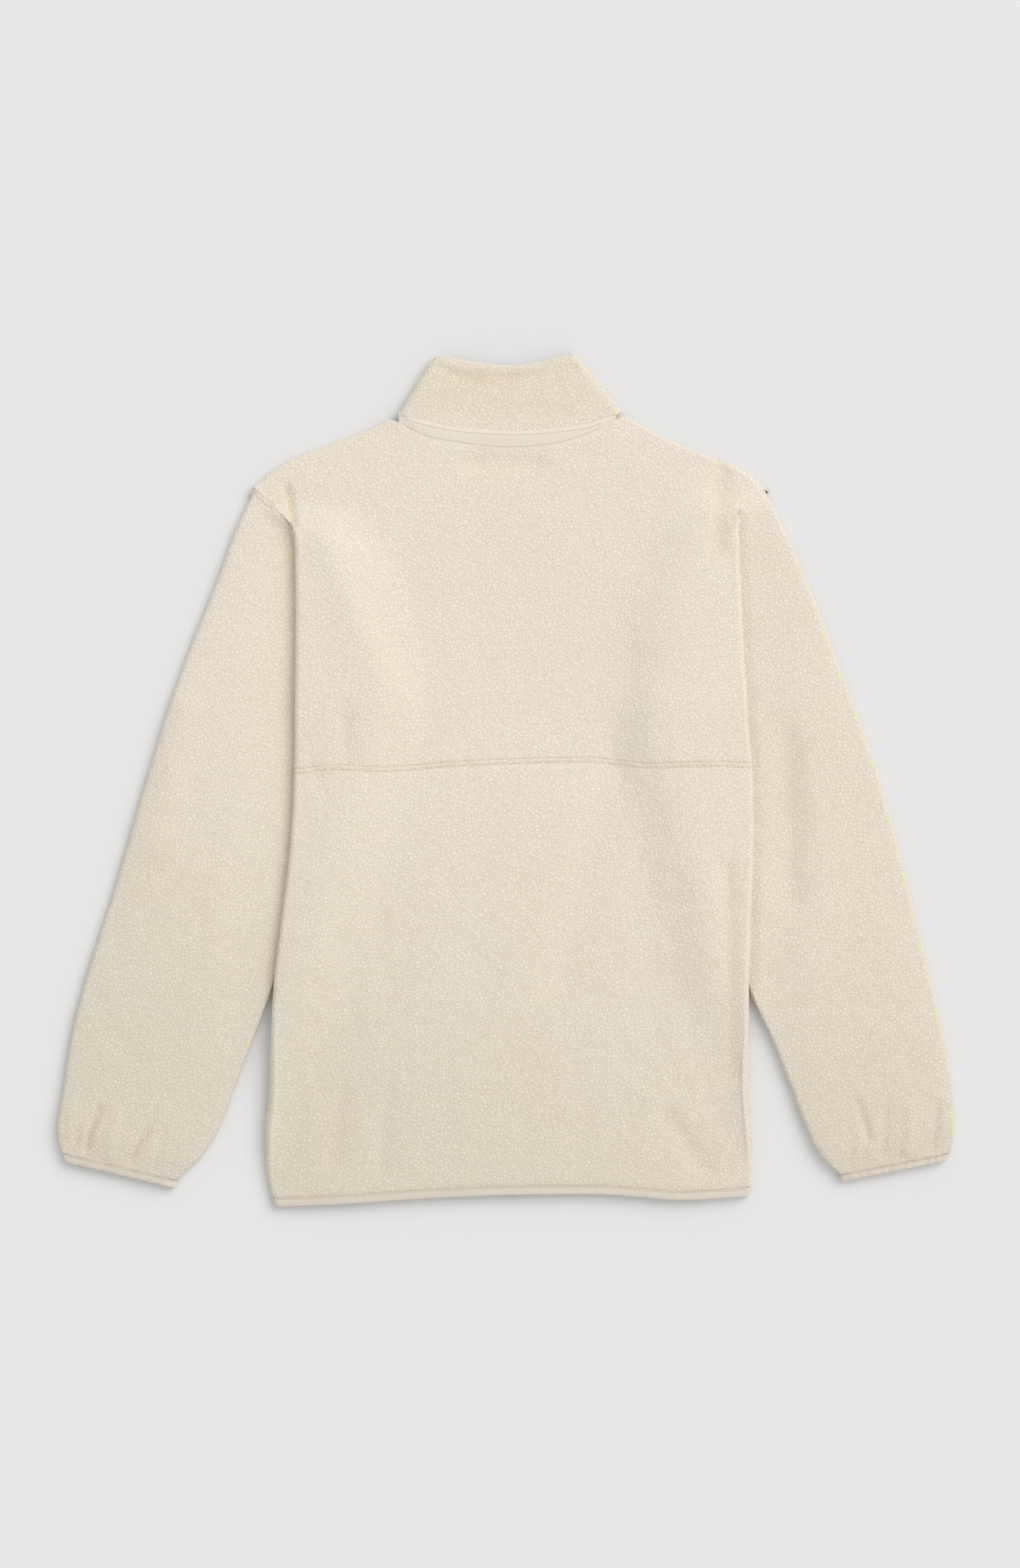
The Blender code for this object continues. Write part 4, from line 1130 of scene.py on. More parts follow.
# %% [markdown]
# Edges and rows of the back
#
# The yoke ends at the shoulders and the waist seam, the lower panel at that seam and the
# hem. Their rows could be evenly spaced, but the seam pulls the cloth down into two grooves
# with a thin ridge between them, and even rows would miss it. So they are closer there.

# %% Edges and rows of the back
GRID_STEP = 10.0
SEAM_ROWS = (0.0, 1.2, 2.4, 3.6, 5.0, 7.5)  # distances from the waist seam


def seam_shares(length, from_foot):
    """Row shares for a panel of that length, closer at its waist seam."""
    first = [d / length for d in SEAM_ROWS]
    count = int((length - SEAM_ROWS[-1]) / GRID_STEP)
    rest = [lerp(first[-1], 1.0, n / count) for n in range(1, count + 1)]
    shares = first + rest
    return shares if from_foot else [1.0 - s for s in reversed(shares)]


def even(count):
    """Evenly spaced shares from 0 to 1."""
    return [n / count for n in range(count + 1)]


def waist_line(shift):
    """The waist seam, moved up the jacket by a shift."""
    return lambda x: line_y(WAIST_SEAM, x) + shift


def crest_line(x):
    """The yoke's upper edge on top of the cloth, before it rolls under."""
    rolled = FOLD_HEIGHT / 2 * shoulder_tilt(x) * roll_share(x)
    return top_outline(x) - rolled - EDGE_TURN * (1 - roll_share(x))


def hem_line(x):
    """The lower panel's foot, above the hem binding."""
    return line_y(HEM, x) + HEM_BINDING + SEAM_GAP


def yoke_shares():
    """The yoke's columns as shares of its width, wide ones halved."""
    first, last = YOKE_COLUMNS[0], YOKE_COLUMNS[-1]
    shares = []
    for a, b in zip(YOKE_COLUMNS, YOKE_COLUMNS[1:]):
        parts = 2 if b - a > 12 else 1
        shares += [(lerp(a, b, n / parts) - first) / (last - first) for n in range(parts)]
    return shares + [1.0]


print(len(yoke_shares()), "columns across the yoke before the folds")

# %% [markdown]
# The back: yoke and lower panel
#
# On the real jacket a yoke and a lower panel are coverstitched together across the waist,
# and each wraps round the sides as one cloth. Laid flat, the sides roll over the sleeves
# and the shoulders roll under. One mesh for both would be simpler, but each panel is its
# own piece in the cut, and moves on its own when it is draped.

# %% The back: yoke and lower panel
HALF_SEAM = 0.04  # half the gap left between the two panels at their seam
YOKE_LENGTH, LOWER_LENGTH = 247, 386  # along the side folds
LOWER_COLUMNS = 42
TIP_DEPTH = 6.0  # the shoulder tip is trimmed from this far below it
TIP_ALLOWED = 0.3
TIP_TRIM = 0.88  # share of what lies past the line that is taken back


def trim_tip(obj, table, sign):
    """Round the shoulder tip off to the line of the sleeve's outer edge."""
    start = Vector((table[0].outer_x, table[0].outer_y))
    along = (start - Vector((table[1].outer_x, table[1].outer_y))).normalized()
    out = Vector((-along.y, along.x)) * sign
    points, _ = read_points(obj)
    past = (points[:, :2] - np.array(start)) @ np.array(out) - TIP_ALLOWED
    past = np.where((past > 0) & (points[:, 1] > start.y - TIP_DEPTH), past, 0.0)
    points[:, :2] -= TIP_TRIM * past[:, None] * np.array(out)
    write_points(obj, points)


upper_sides, lower_sides = [[y + gap for y in WAIST_SIDES_Y] for gap in (HALF_SEAM, -HALF_SEAM)]
yoke_rows, lower_rows = seam_shares(YOKE_LENGTH, True), seam_shares(LOWER_LENGTH, False)
upper = grid_object("back_upper_cloth", back_grid(
    waist_line(HALF_SEAM), crest_line, roll_share, yoke_rows, yoke_shares(),
    upper_sides, ARMHOLE_TOPS_Y))
lower = grid_object("back_lower_cloth", back_grid(
    hem_line, waist_line(-HALF_SEAM), None, lower_rows, even(LOWER_COLUMNS),
    HEM_SIDES_Y, lower_sides))
for piece in (upper, lower):
    subdivide(piece, 2)
    print(piece.name, len(piece.data.polygons), "quads")

# %% [markdown]
# Creases of the back
#
# Each is a soft ridge or trough along its own line. They are uneven in length, depth and
# spacing, as cloth that was smoothed out by hand is. Noise would spread them evenly, so
# they are placed one by one, and only the small puckers beside the seam come from a loop.

# %% Creases of the back
BACK_CREASES = [fold_crease(fold) for fold in BODY_FOLDS] + [
    Crease([(196, 296), (195, 250), (192, 206)], 9, -0.7),
    Crease([(115, 106), (96, 14), (73, -48), (50, -179)], 15, -0.5),
    Crease([(-162, 214), (-138, 150), (-112, 90)], 12, 0.1),
    Crease([(-197, 264), (-193.5, 250), (-190.5, 230)], 3.8, -2.6),
    Crease([(-30, 284), (0, 281), (24, 283)], 22, -1.5),
    Crease([(-146, 54), (-143, 16)], 8, -0.9),
    Crease([(-154, -345), (-152, -318), (-146, -285)], 9, -0.8),
    Crease([(-112, -348), (-113, -310), (-106, -280)], 8, -0.7),
    Crease([(-183, -352), (-176, -300), (-181, -240)], 9, 0.5),
    Crease([(148, -300), (165, -330), (183, -352)], 9, -0.8),
    Crease([(199, -79), (203, -160), (204, -264)], 8, -0.7),
    Crease([(-40, 288), (-5, 284), (30, 286)], 9, -0.6),
    Crease([(-120, -20), (-131, -120), (-118, -230)], 17, 0.5),
    Crease([(150, -30), (140, -140), (156, -240)], 15, 0.45),
    Crease([(-60, 40), (-95, 120), (-150, 190)], 15, -0.4),
    Crease([(20, 250), (60, 200), (150, 170)], 18, 0.4),
    Crease([(-20, -60), (-32, -150), (-14, -210)], 19, -0.35),
    Crease([(60, -250), (71, -300), (66, -352)], 12, -0.45),
    Crease([(-40, -270), (-31, -320), (-38, -360)], 11, 0.4),
    Crease([(15, -300), (19, -340), (14, -362)], 9, -0.35),
]
# Small puckers beside the waist seam: place along it, length, width and depth
PUCKERS = [
    (-176, 16, 5, -0.5), (-158, 11, 4, -0.4), (-133, 19, 6, -0.5), (-107, 9, 4, -0.35),
    (-92, 14, 5, -0.45), (-61, 10, 4, -0.35), (-38, 18, 6, -0.4), (-9, 9, 4, -0.3),
    (17, 13, 5, -0.4), (46, 17, 6, -0.45), (66, 9, 4, -0.35), (97, 15, 5, -0.5),
    (121, 10, 4, -0.35), (143, 18, 6, -0.5), (171, 12, 5, -0.45), (195, 16, 5, -0.5),
]
for n, (x, length, width, rise) in enumerate(PUCKERS):
    y, sway = line_y(WAIST_SEAM, x), 2.5 * math.sin(n * 2.1)
    BACK_CREASES.append(Crease([(x, y + 2), (x + sway, y + 2 + length)], width, rise))
    x, sway = x + 7 + 3 * math.sin(n * 1.7), -2.5 * math.cos(n * 1.3)
    BACK_CREASES.append(Crease([(x, y - 2), (x + sway, y - 2 - length * 0.8)], width, rise))
print(len(BACK_CREASES), "creases on the back")

# %% [markdown]
# Seams and hollows of the back
#
# Two rows of stitches sink the cloth beside the waist seam, and the neck and hem seams pull
# its edges down. These are creases too, along the seams' own lines. A carved groove would
# be as sharp as one in wood. The hollows are where painted shade makes the finish darker
# and warmer.

# %% Seams and hollows of the back
def line_points(line, first, last, step=8.0, shift=0.0):
    """Places along a table line, a step apart."""
    count = max(2, int((last - first) / step))
    places = [lerp(first, last, n / count) for n in range(count + 1)]
    return [(x, line_y(line, x) + shift) for x in places]


SEAM_STITCH = 2.2  # from the waist seam to each row of its stitches
waist_points = line_points(WAIST_SEAM, -215, 235)
SEAM_PRESS = [
    Crease(waist_points, 1.5, 0.22),
    Crease([(x, y + SEAM_STITCH) for x, y in waist_points], 1.5, -0.3),
    Crease([(x, y - SEAM_STITCH) for x, y in waist_points], 1.5, -0.3),
    Crease(waist_points, 10, -0.3),
]
neck_points = [(x, top_outline(x) - 1.0) for x in range(-92, 98, 8)]
hem_points = line_points(HEM, -215, 225, shift=HEM_BINDING)
EDGE_PRESS = [Crease(neck_points, 3.0, -0.3), Crease(hem_points, 3.0, -0.6)]
# Painted shade: darker and warmer along these lines, in the shoulder's crease, under the collar
# and in the deeper folds.
BACK_PAINTED_SHADE = [
    Crease([(-197.5, 262), (-194.5, 248), (-191, 228)], 3.2, 1.0),
    Crease([(-24, 284), (18, 282)], 20, 0.1),
    Crease([(196, 292), (194, 240), (192, 206)], 10, 0.3),
    Crease([(-145, 55), (-143, 18)], 9, 0.12),
    Crease([(148, -305), (166, -332), (182, -350)], 9, 0.2),
    Crease([(-154, -345), (-150, -290)], 10, 0.15),
    Crease([(204, -80), (207, -170), (206, -264)], 10, 0.25),
]
for piece in (upper, lower):
    ruffle(piece, 0.3, 0.7)
    press(piece, BACK_CREASES + SEAM_PRESS + EDGE_PRESS)
    paint_shade(piece, BACK_PAINTED_SHADE)
    thicken(piece)
trim_tip(upper, LEFT_SLEEVE, 1.0)
trim_tip(upper, RIGHT_SLEEVE, -1.0)
finish_piece(upper, "back_upper", fleece)
finish_piece(lower, "back_lower", fleece)

# %% [markdown]
# Creases of the sleeves
#
# The elastic draws each cuff end into small gathers, and the sleeve has a few long folds of
# its own. Beside the body's side fold its cloth dips. They are placed one by one like those
# of the back, and the hidden layer gets the same ones a little further on.

# %% Creases of the sleeves
CUFF_GATHER_Y = -290  # the solids' cuff folds are replaced by finer ones below this height
GATHER_SHARE = 0.4  # of their depth is kept
RIGHT_FOLD = [(256, 40), (259, -30), (258, -108)]
LEFT_GATHER = [(-379, -333), (-375, -318), (-366, -297)]
LEFT_EDGE_GATHER = [(-388, -328), (-386, -318)]
LEFT_INNER_GATHER = [(-339, -343), (-331, -330), (-323, -318)]
RIGHT_GATHER = [(386, -332), (389, -312), (390, -296)]
RIGHT_CUFF_DENT = [(356, -337), (361, -341), (364, -343)]
SLEEVE_CREASES = [
    fold_crease(fold, GATHER_SHARE if fold.y0 < CUFF_GATHER_Y else 1.0) for fold in SLEEVE_FOLDS
] + [
    Crease(RIGHT_FOLD, 12, -0.7),
    Crease([(-286, 70), (-300, 10), (-318, -60)], 14, 0.5),
    Crease([(-340, -60), (-352, -120), (-352, -170)], 13, -0.6),
    Crease([(-250, 30), (-262, -30), (-268, -70)], 10, -0.5),
    Crease(LEFT_GATHER, 3.6, -2.4),
    Crease(LEFT_EDGE_GATHER, 3.4, -1.6),
    Crease(LEFT_INNER_GATHER, 3.6, -2.3),
    Crease([(-347, -300), (-348, -284)], 2.5, -0.5),
    Crease([(-358, -339), (-355, -318), (-350, -300)], 5, 0.8),
    Crease([(-318, -348), (-311, -330), (-309, -315)], 4.5, -0.9),
    Crease([(-303, -352), (-298, -341), (-297, -333)], 4, -0.7),
    Crease([(-394, -322), (-392, -296)], 5, 0.6),
    Crease([(340, -337), (342, -318), (343, -298)], 4.5, -1.0),
    Crease([(330, -326), (324, -308), (318, -290)], 4.5, -1.6),
    Crease(RIGHT_CUFF_DENT, 4, -0.8),
    Crease([(362, -336), (365, -312), (366, -296)], 5, 0.8),
    Crease(RIGHT_GATHER, 4.5, -1.0),
    Crease([(322, -344), (326, -326), (323, -311)], 4.5, -0.9),
    Crease([(310, -347), (313, -335), (312, -327)], 4, -0.7),
    Crease([(375, -334), (379, -322)], 4, -0.7),
    Crease([(330, 60), (338, 10), (349, -40)], 12, 0.5),
    Crease([(290, 150), (300, 90), (310, 60)], 11, -0.5),
    Crease([(385, -200), (372, -230), (360, -262)], 11, -0.5),
    Crease([(-372, -190), (-356, -225), (-338, -250)], 12, -0.5),
]
LEFT_VALLEY = [(body_size("left_edge", y) - 2.5, y) for y in range(-180, 236, 16)]
RIGHT_VALLEY = [(body_size("right_edge", y) + 1.5, y) for y in range(-180, 250, 16)]
VALLEYS = [Crease(LEFT_VALLEY, 8, -0.2), Crease(RIGHT_VALLEY, 7, -0.8)]
# Painted shade: darker and warmer beside the body's side folds, where their shadow falls on the
# sleeves, and in gathers and folds.
SLEEVE_PAINTED_SHADE = [
    Crease([(x - 0.5, y) for x, y in LEFT_VALLEY], 6, 0.6),
    Crease([(x + 1.0, y) for x, y in RIGHT_VALLEY], 8, 0.1),
    Crease(LEFT_GATHER, 3.6, 0.4),
    Crease(LEFT_EDGE_GATHER, 3.5, 0.3),
    Crease(LEFT_INNER_GATHER, 3.6, 0.4),
    Crease(RIGHT_FOLD, 13, 0.2),
    Crease(RIGHT_CUFF_DENT, 4, 0.35),
    Crease(RIGHT_GATHER, 5, 0.3),
    Crease([(330, -322), (324, -306), (318, -290)], 4.5, 0.4),
]
UNDER_CREASES = [
    Crease([(x * 0.97 + 4, y + 17) for x, y in crease.points], crease.width, crease.rise)
    for crease in SLEEVE_CREASES
]
print(len(SLEEVE_CREASES), "creases on the sleeves, and", len(SLEEVE_PAINTED_SHADE), "hollows")

# %% [markdown]
# Sleeve heads
#
# At the armhole the sleeve's seam allowance lies under the yoke's edge and its head rises
# to meet it. Without both, one could look into the seam from above. Two more rows before
# the armhole give the allowance, and a soft rise gives the head.

# %% Sleeve heads
HEAD_TUCK = 6.0  # the sleeve head's seam allowance reaches this far under the yoke
TUCK_FADE = 9.0  # it tapers off towards the shoulder tip over this width
HEAD_DROP = 0.86  # and lies at this share of the height


def head_rows(grid):
    """The grid with two rows of seam allowance before the armhole, under the yoke's edge."""
    armhole_row, next_row = grid[:2]
    rows = []
    tip = max(abs(spot.x) for spot in armhole_row)
    for share in (1.0, 0.35):
        row = []
        for spot, after in zip(armhole_row, next_row):
            back = Vector((spot.x - after.x, spot.y - after.y, 0)).normalized()
            upper = smoothstep((spot.z - 2.0) / 5.0)
            inside = smoothstep((tip - abs(spot.x)) / TUCK_FADE)
            tucked = spot + back * (HEAD_TUCK * share * upper * inside)
            tucked.z = spot.z * lerp(1.0, HEAD_DROP, upper)
            row.append(tucked)
        rows.append(row)
    return rows + grid


HEAD_RISE_WIDTH = 9.0
HEAD_RISE_Y = 224


def head_rise(side, x, y):
    """The sleeve's head rises to the yoke's edge where the body's side fold begins."""
    edge = body_size(side + "_edge", y)
    off = max(0.0, (x - edge) * (-1.0 if side == "left" else 1.0))
    rise = max(0.0, body_top(edge, y) - FOLD_HEIGHT - 0.3)
    return rise * math.exp(-((off / HEAD_RISE_WIDTH) ** 2)) * smoothstep((y - HEAD_RISE_Y) / 8)


print("the head rises", round(head_rise("left", -194, 236), 2), "mm at the left side fold")

# %% [markdown]
# Sleeves
#
# Each sleeve is one panel sewn into a tube along the underarm. Laid flat it is two layers
# with a little air between them, so its points are worked out round that flattened section,
# row by row. A round tube could be pressed flat by a simulation, but its edges would wander
# from the outline.

# %% Sleeves
CUFF_SLOPE = 18.0  # the puffed sleeve comes down to the binding over this length
HEAD_SHARES = (SLEEVE_CLEAR, 0.006, 0.011, 0.018, 0.027)
SLEEVE_ROWS = [*HEAD_SHARES, *(lerp(0.04, 1.0, n / 47) for n in range(48))]


def tube_row(point, v, side):
    """One row round the sleeve, at a share v of its length."""
    width = (point(1, v) - point(0, v)).length
    to_cuff = (point(0.5, 1) - point(0.5, v)).length
    row = []
    for place in flat_tube(width, FOLD_HEIGHT, SLEEVE_SLIT):
        u = place.s / width
        spot = point(u, v)
        z = place.z
        if place.out_z == 1.0:
            z += sleeve_swell(side, spot.x, spot.y, u) * smoothstep(to_cuff / CUFF_SLOPE)
            z += head_rise(side, spot.x, spot.y)
        row.append(Vector((spot.x, spot.y, z)))
    return row if side == "left" else list(reversed(row))


def sleeve_cloth(name, side, table, armhole):
    """A whole sleeve, creased, marked and given its wall."""
    outer = [Line(row.outer_x, row.outer_y) for row in table]
    inner = [Line(row.inner_x, row.inner_y) for row in table]
    cuff = [inner[-1], outer[-1]]
    point = patch(
        lambda u: polyline_point(armhole, u),
        lambda u: polyline_point(cuff, u),
        lambda v: polyline_point(inner, v),
        lambda v: polyline_point(outer, v),
    )
    grid = [tube_row(point, v, side) for v in SLEEVE_ROWS]
    obj = grid_object(name, head_rows(grid))
    subdivide(obj, 2)
    ruffle(obj, 0.3, 0.7)
    press(obj, SLEEVE_CREASES + VALLEYS)
    paint_shade(obj, SLEEVE_PAINTED_SHADE)
    press(obj, UNDER_CREASES, -1.0)
    thicken(obj)
    return obj


sleeve_left = sleeve_cloth("sleeve_left_cloth", "left", LEFT_SLEEVE, LEFT_ARMHOLE)
sleeve_right = sleeve_cloth("sleeve_right_cloth", "right", RIGHT_SLEEVE, RIGHT_ARMHOLE)
finish_piece(sleeve_left, "sleeve_left", fleece)
finish_piece(sleeve_right, "sleeve_right", fleece)

# %% [markdown]
# Collar and fronts
#
# The collar is fleece doubled over and pressed flat, so its solid already has the folded
# section, and the two fronts lie flat under the back. Finer copies of their own solids keep
# every edge where it is. They get the uneven pile, and the dip under the collar's upper edge,
# which is darkened with painted shade.

# %% Collar and fronts
COLLAR_CREASES = [
    Crease([(-60, 371), (-42, 365), (10, 362), (60, 371)], 7, -1.2),
    Crease([(-44, 363), (-30, 360)], 7, -0.8),
    Crease([(-84, 338), (-73, 352), (-66, 368)], 6, -0.5),
    Crease([(92, 340), (80, 356), (72, 372)], 6, -0.4),
    Crease([(-20, 345), (20, 342), (55, 349)], 10, 0.4),
    Crease([(-58, 333), (-30, 327)], 6, -0.4),
]
FRONT_CREASES = [
    Crease([(-120, 180), (-90, 60), (-100, -60)], 16, -0.9),
    Crease([(-60, -80), (-72, -190), (-58, -300)], 14, 0.8),
    Crease([(-150, -200), (-140, -280), (-148, -350)], 11, -0.8),
    Crease([(110, 200), (84, 90), (92, -40)], 15, -0.9),
    Crease([(60, -60), (70, -170), (55, -290)], 14, 0.7),
    Crease([(150, -210), (138, -290), (145, -345)], 11, -0.8),
    Crease([(-30, 240), (-70, 220), (-110, 250)], 10, -0.6),
    Crease([(40, 240), (80, 222), (120, 252)], 10, -0.6),
]


def refined(node, name, lumps, waves, creases, side=1.0):
    """A finer copy of a node's solid, with uneven pile and creases."""
    obj = copy_solid(node, name)
    ruffle(obj, lumps, waves)
    press(obj, creases, side)
    return obj


collar = refined("collar", "collar_cloth", 0.3, 0.5, COLLAR_CREASES)
front_left = refined("front_left", "front_left_cloth", 0.4, 0.0, FRONT_CREASES, -1.0)
front_right = refined("front_right", "front_right_cloth", 0.4, 0.0, FRONT_CREASES, -1.0)
for piece, node in ((collar, "collar"), (front_left, "front_left"), (front_right, "front_right")):
    finish_piece(piece, node, fleece)
# Painted shade in the dip under the collar's upper edge.
paint_shade(collar, [
    Crease([(-50, 366), (-42, 362), (8, 361)], 10, 0.42),
    Crease([(8, 361), (50, 364)], 9, 0.18),
])

# %% [markdown]
# Neck band
#
# A flat band of the same fleece, pressed smooth, covers the seam of collar and yoke, and is
# stitched down on both sides. Its solid is too coarse to follow the cloth. So the band is
# laid anew across the line: sunk edges, stitched grooves and a low crown, on heights that a
# ray reads from the yoke below and the collar above.

# %% Neck band
def surface_of(*objs):
    """The pieces' surfaces together, for rays to meet."""
    verts, faces = [], []
    for obj in objs:
        start = len(verts)
        verts += [vert.co.copy() for vert in obj.data.vertices]
        faces += [[start + i for i in face.vertices] for face in obj.data.polygons]
    return BVHTree.FromPolygons(verts, faces)


RAY_HEIGHT = 60  # mm, well above the cloth
BAND_REACH = 96.5
BAND_COLUMNS = 48
BAND_CROWN = 0.55  # how far the band's middle stands above its stitched edges
BAND_END = 10.0  # the band sinks under the neck corners over this length
BAND_SINK = 0.8
BAND_SIDE = 3.5  # heights are read this far outside the band
BAND_LEVEL = 11.0  # and this is used where a ray meets no cloth


def look_down(surface, x, y):
    """Where a ray straight down meets the cloth, and the cloth's direction there."""
    hit, normal, _, _ = surface.ray_cast(Vector((x, y, RAY_HEIGHT)) * MM, Vector((0, 0, -1)))
    return hit, normal


def height_at(surface, x, y, missed=0.0):
    """Height of the cloth at a place, in mm."""
    hit, _ = look_down(surface, x, y)
    return hit.z / MM if hit else missed


def lap_profile(reach):
    """Places across a lapped seam and their heights: a low crown, stitched grooves, sunk edges."""
    crown = (reach * 0.55, BAND_CROWN * 0.8)
    half = [crown, (reach, -0.02), (reach + 1.6, -0.1), (reach + 3.0, -0.9)]
    return [(-place, lift) for place, lift in reversed(half)] + [(0.0, BAND_CROWN)] + half


def band_grid(surface):
    """The flat band over the neck seam, level with the yoke below and the collar above."""
    columns = []
    for n in range(BAND_COLUMNS + 1):
        x = lerp(-BAND_REACH, BAND_REACH + 3, n / BAND_COLUMNS)
        low, high = top_outline(x) - 0.4, line_y(NECK_SEAM, x) + 1.0
        below = height_at(surface, x, low - BAND_SIDE, BAND_LEVEL)
        above = height_at(surface, x, high + BAND_SIDE, BAND_LEVEL)
        sink = BAND_SINK * smoothstep((abs(x - 1.5) - BAND_REACH + 1.5 + BAND_END) / BAND_END)
        column = []
        for place, lift in lap_profile((high - low) / 2):
            share = min(max((place / (high - low)) + 0.5, 0.0), 1.0)
            z = lerp(below, above, smoothstep(share)) + lift - sink
            column.append(Vector((x, (low + high) / 2 + place, z)))
        columns.append(column)
    return [[column[k] for column in columns] for k in range(len(columns[0]))]


neck_band = grid_object("neck_band_cloth", band_grid(surface_of(upper, collar)))
subdivide(neck_band, 2)
ruffle(neck_band, 0.15, 0.2)
thicken(neck_band, 1.6)
finish_piece(neck_band, "neck_seam_band", pressed_fleece)

# %% [markdown]
# Cuff and hem bindings
#
# A binding is a knitted strip folded round a raw edge. Those of the cuffs hold elastic,
# which draws them into short gathers across the strip. The solids are already folded
# strips, so finer copies of them are pressed along each gather, on both sides.

# %% Cuff and hem bindings
# Gathers of the elastic, across each cuff binding: place along it from the inner end, depth
CUFF_RIBS = [
    (0.05, -0.5), (0.11, 0.3), (0.16, -0.6), (0.24, -0.4), (0.30, 0.3), (0.37, -0.7), (0.45, -0.4),
    (0.52, 0.3), (0.58, -0.5), (0.66, -0.7), (0.72, 0.2), (0.79, -0.5), (0.86, -0.6), (0.93, -0.4),
]


def cuff_creases(table, foot):
    """The gathers across a cuff binding, as creases."""
    last = table[-1]
    top = Vector((last.inner_x, last.inner_y)), Vector((last.outer_x, last.outer_y))
    creases = []
    for share, rise in CUFF_RIBS:
        a = top[0].lerp(top[1], share)
        b = Vector(foot[0]).lerp(Vector(foot[1]), share)
        creases.append(Crease([tuple(a), tuple(b)], 2.6, rise))
    return creases


CUFF_SIDES = (("left", LEFT_SLEEVE, LEFT_CUFF_FOOT), ("right", RIGHT_SLEEVE, RIGHT_CUFF_FOOT))
cuffs = []
for side, table, foot in CUFF_SIDES:
    ribs = cuff_creases(table, foot)
    cuff = refined(f"cuff_binding_{side}", f"cuff_{side}_cloth", 0.2, 0.2, ribs)
    press(cuff, ribs, -1.0)
    cuffs.append(finish_piece(cuff, f"cuff_binding_{side}", binding))
hem = refined("hem_binding", "hem_cloth", 0.2, 0.3, [])
finish_piece(hem, "hem_binding", binding)

# %% [markdown]
# Seam allowances
#
# Under every seam the raw edges of both pieces overlap, so no real seam lets one look
# into the jacket. A narrow strip of the same cloth lies just below the surface along the
# neck, the hem and the cuffs. Leaving the solids' 0.3 mm gaps open would show as black
# lines.

# %% Seam allowances
ALLOWANCE_WIDTH, ALLOWANCE_DEPTH, ALLOWANCE_WALL = 7.0, 1.0, 1.2


def walk(points, pitch):
    """Places a pitch apart along a line through points, with the direction there."""
    places, carry = [], 0.0
    for a, b in zip(points, points[1:]):
        a, b = Vector(a), Vector(b)
        length = (b - a).length
        at = carry
        while at < length:
            places.append((a.lerp(b, at / length), (b - a) / length))
            at += pitch
        carry = at - length
    return places


def face_up(obj):
    """Turns a strip over if it was drawn face down."""
    if obj.data.polygons[0].normal.z < 0:
        obj.data.flip_normals()


def allowance(name, line, surface, material):
    """A strip along a seam line, below the surface on both sides of it."""
    rows = []
    for place, along in walk(line, 3.0):
        across = Vector((-along.y, along.x))
        ends = [place + across * side for side in (-3.0, 3.0)]
        top = min(height_at(surface, spot.x, spot.y) for spot in ends) - ALLOWANCE_DEPTH
        spots = [place + across * (reach * ALLOWANCE_WIDTH) for reach in (0.5, 0.2, -0.2, -0.5)]
        rows.append([Vector((spot.x, spot.y, top)) for spot in spots])
    obj = grid_object(name, rows)
    face_up(obj)
    subdivide(obj, 1)
    thicken(obj, ALLOWANCE_WALL)
    return finish_piece(obj, None, material)


cloth_top = surface_of(upper, lower, sleeve_left, sleeve_right, collar, neck_band, hem, *cuffs)
cuff_runs = {}
for side, table, foot in CUFF_SIDES:
    last = table[-1]
    inner = Vector((last.inner_x, last.inner_y)), Vector(foot[0])
    outer = Vector((last.outer_x, last.outer_y)), Vector(foot[1])
    for key, share in (("seam", 0.02), ("stitch", 0.2)):
        a, b = inner[0].lerp(inner[1], share), outer[0].lerp(outer[1], share)
        cuff_runs[side, key] = [tuple(a.lerp(b, 0.03 + 0.094 * n)) for n in range(11)]
    allowance(f"cuff_{side}_allowance", cuff_runs[side, "seam"], cloth_top, binding)
hem_seam = line_points(HEM, -208, 219, shift=HEM_BINDING)
allowance("hem_allowance", hem_seam, cloth_top, binding)
neck_low_run = [(x, top_outline(x) + 0.3) for x in range(-92, 95, 6)]
neck_high_run = [(x, line_y(NECK_SEAM, x) + 0.8) for x in range(-92, 99, 6)]
allowance("neck_low_allowance", neck_low_run, cloth_top, fleece)
allowance("neck_high_allowance", neck_high_run, cloth_top, fleece)

# %% [markdown]
# Armhole seams
#
# The sleeve's edge is lapped over the yoke's and stitched down flat, so the surface runs on
# from one to the other with hardly a step. A short lap of the same cloth follows each seam
# from the shoulder's tip to the side fold, which hides the rest.

# %% Armhole seams
ARMHOLE_LAP = 2.0  # half the distance between the two rows of stitches
TIP_FALL = 1.6  # the lap turns down over the rolled edge at the shoulder tip
TIP_PLACES, TIP_NARROW = 2.8, 0.45  # over so many places from the tip, and to this width
LAP_EDGE, LAP_BLEND = 4.0, 3.5  # heights are read at the edge, and blended within this reach
LAP_SHAPE = ((0.0, 0.25), (1.0, 0.2), (2.0, 0.0), (2.8, 0.12), (4.0, -0.3), (5.5, -0.9))
armhole_left = [(-228.6, 261.0), (-211.4, 248), (-203, 239.5), (-197, 233.5)]
armhole_right = [(235.4, 262.0), (218.4, 248), (209.5, 238.5), (205, 232.5)]
stitch_left = [(-225.5, 258.7)] + armhole_left[1:]
stitch_right = [(228.6, 256.6)] + armhole_right[1:]


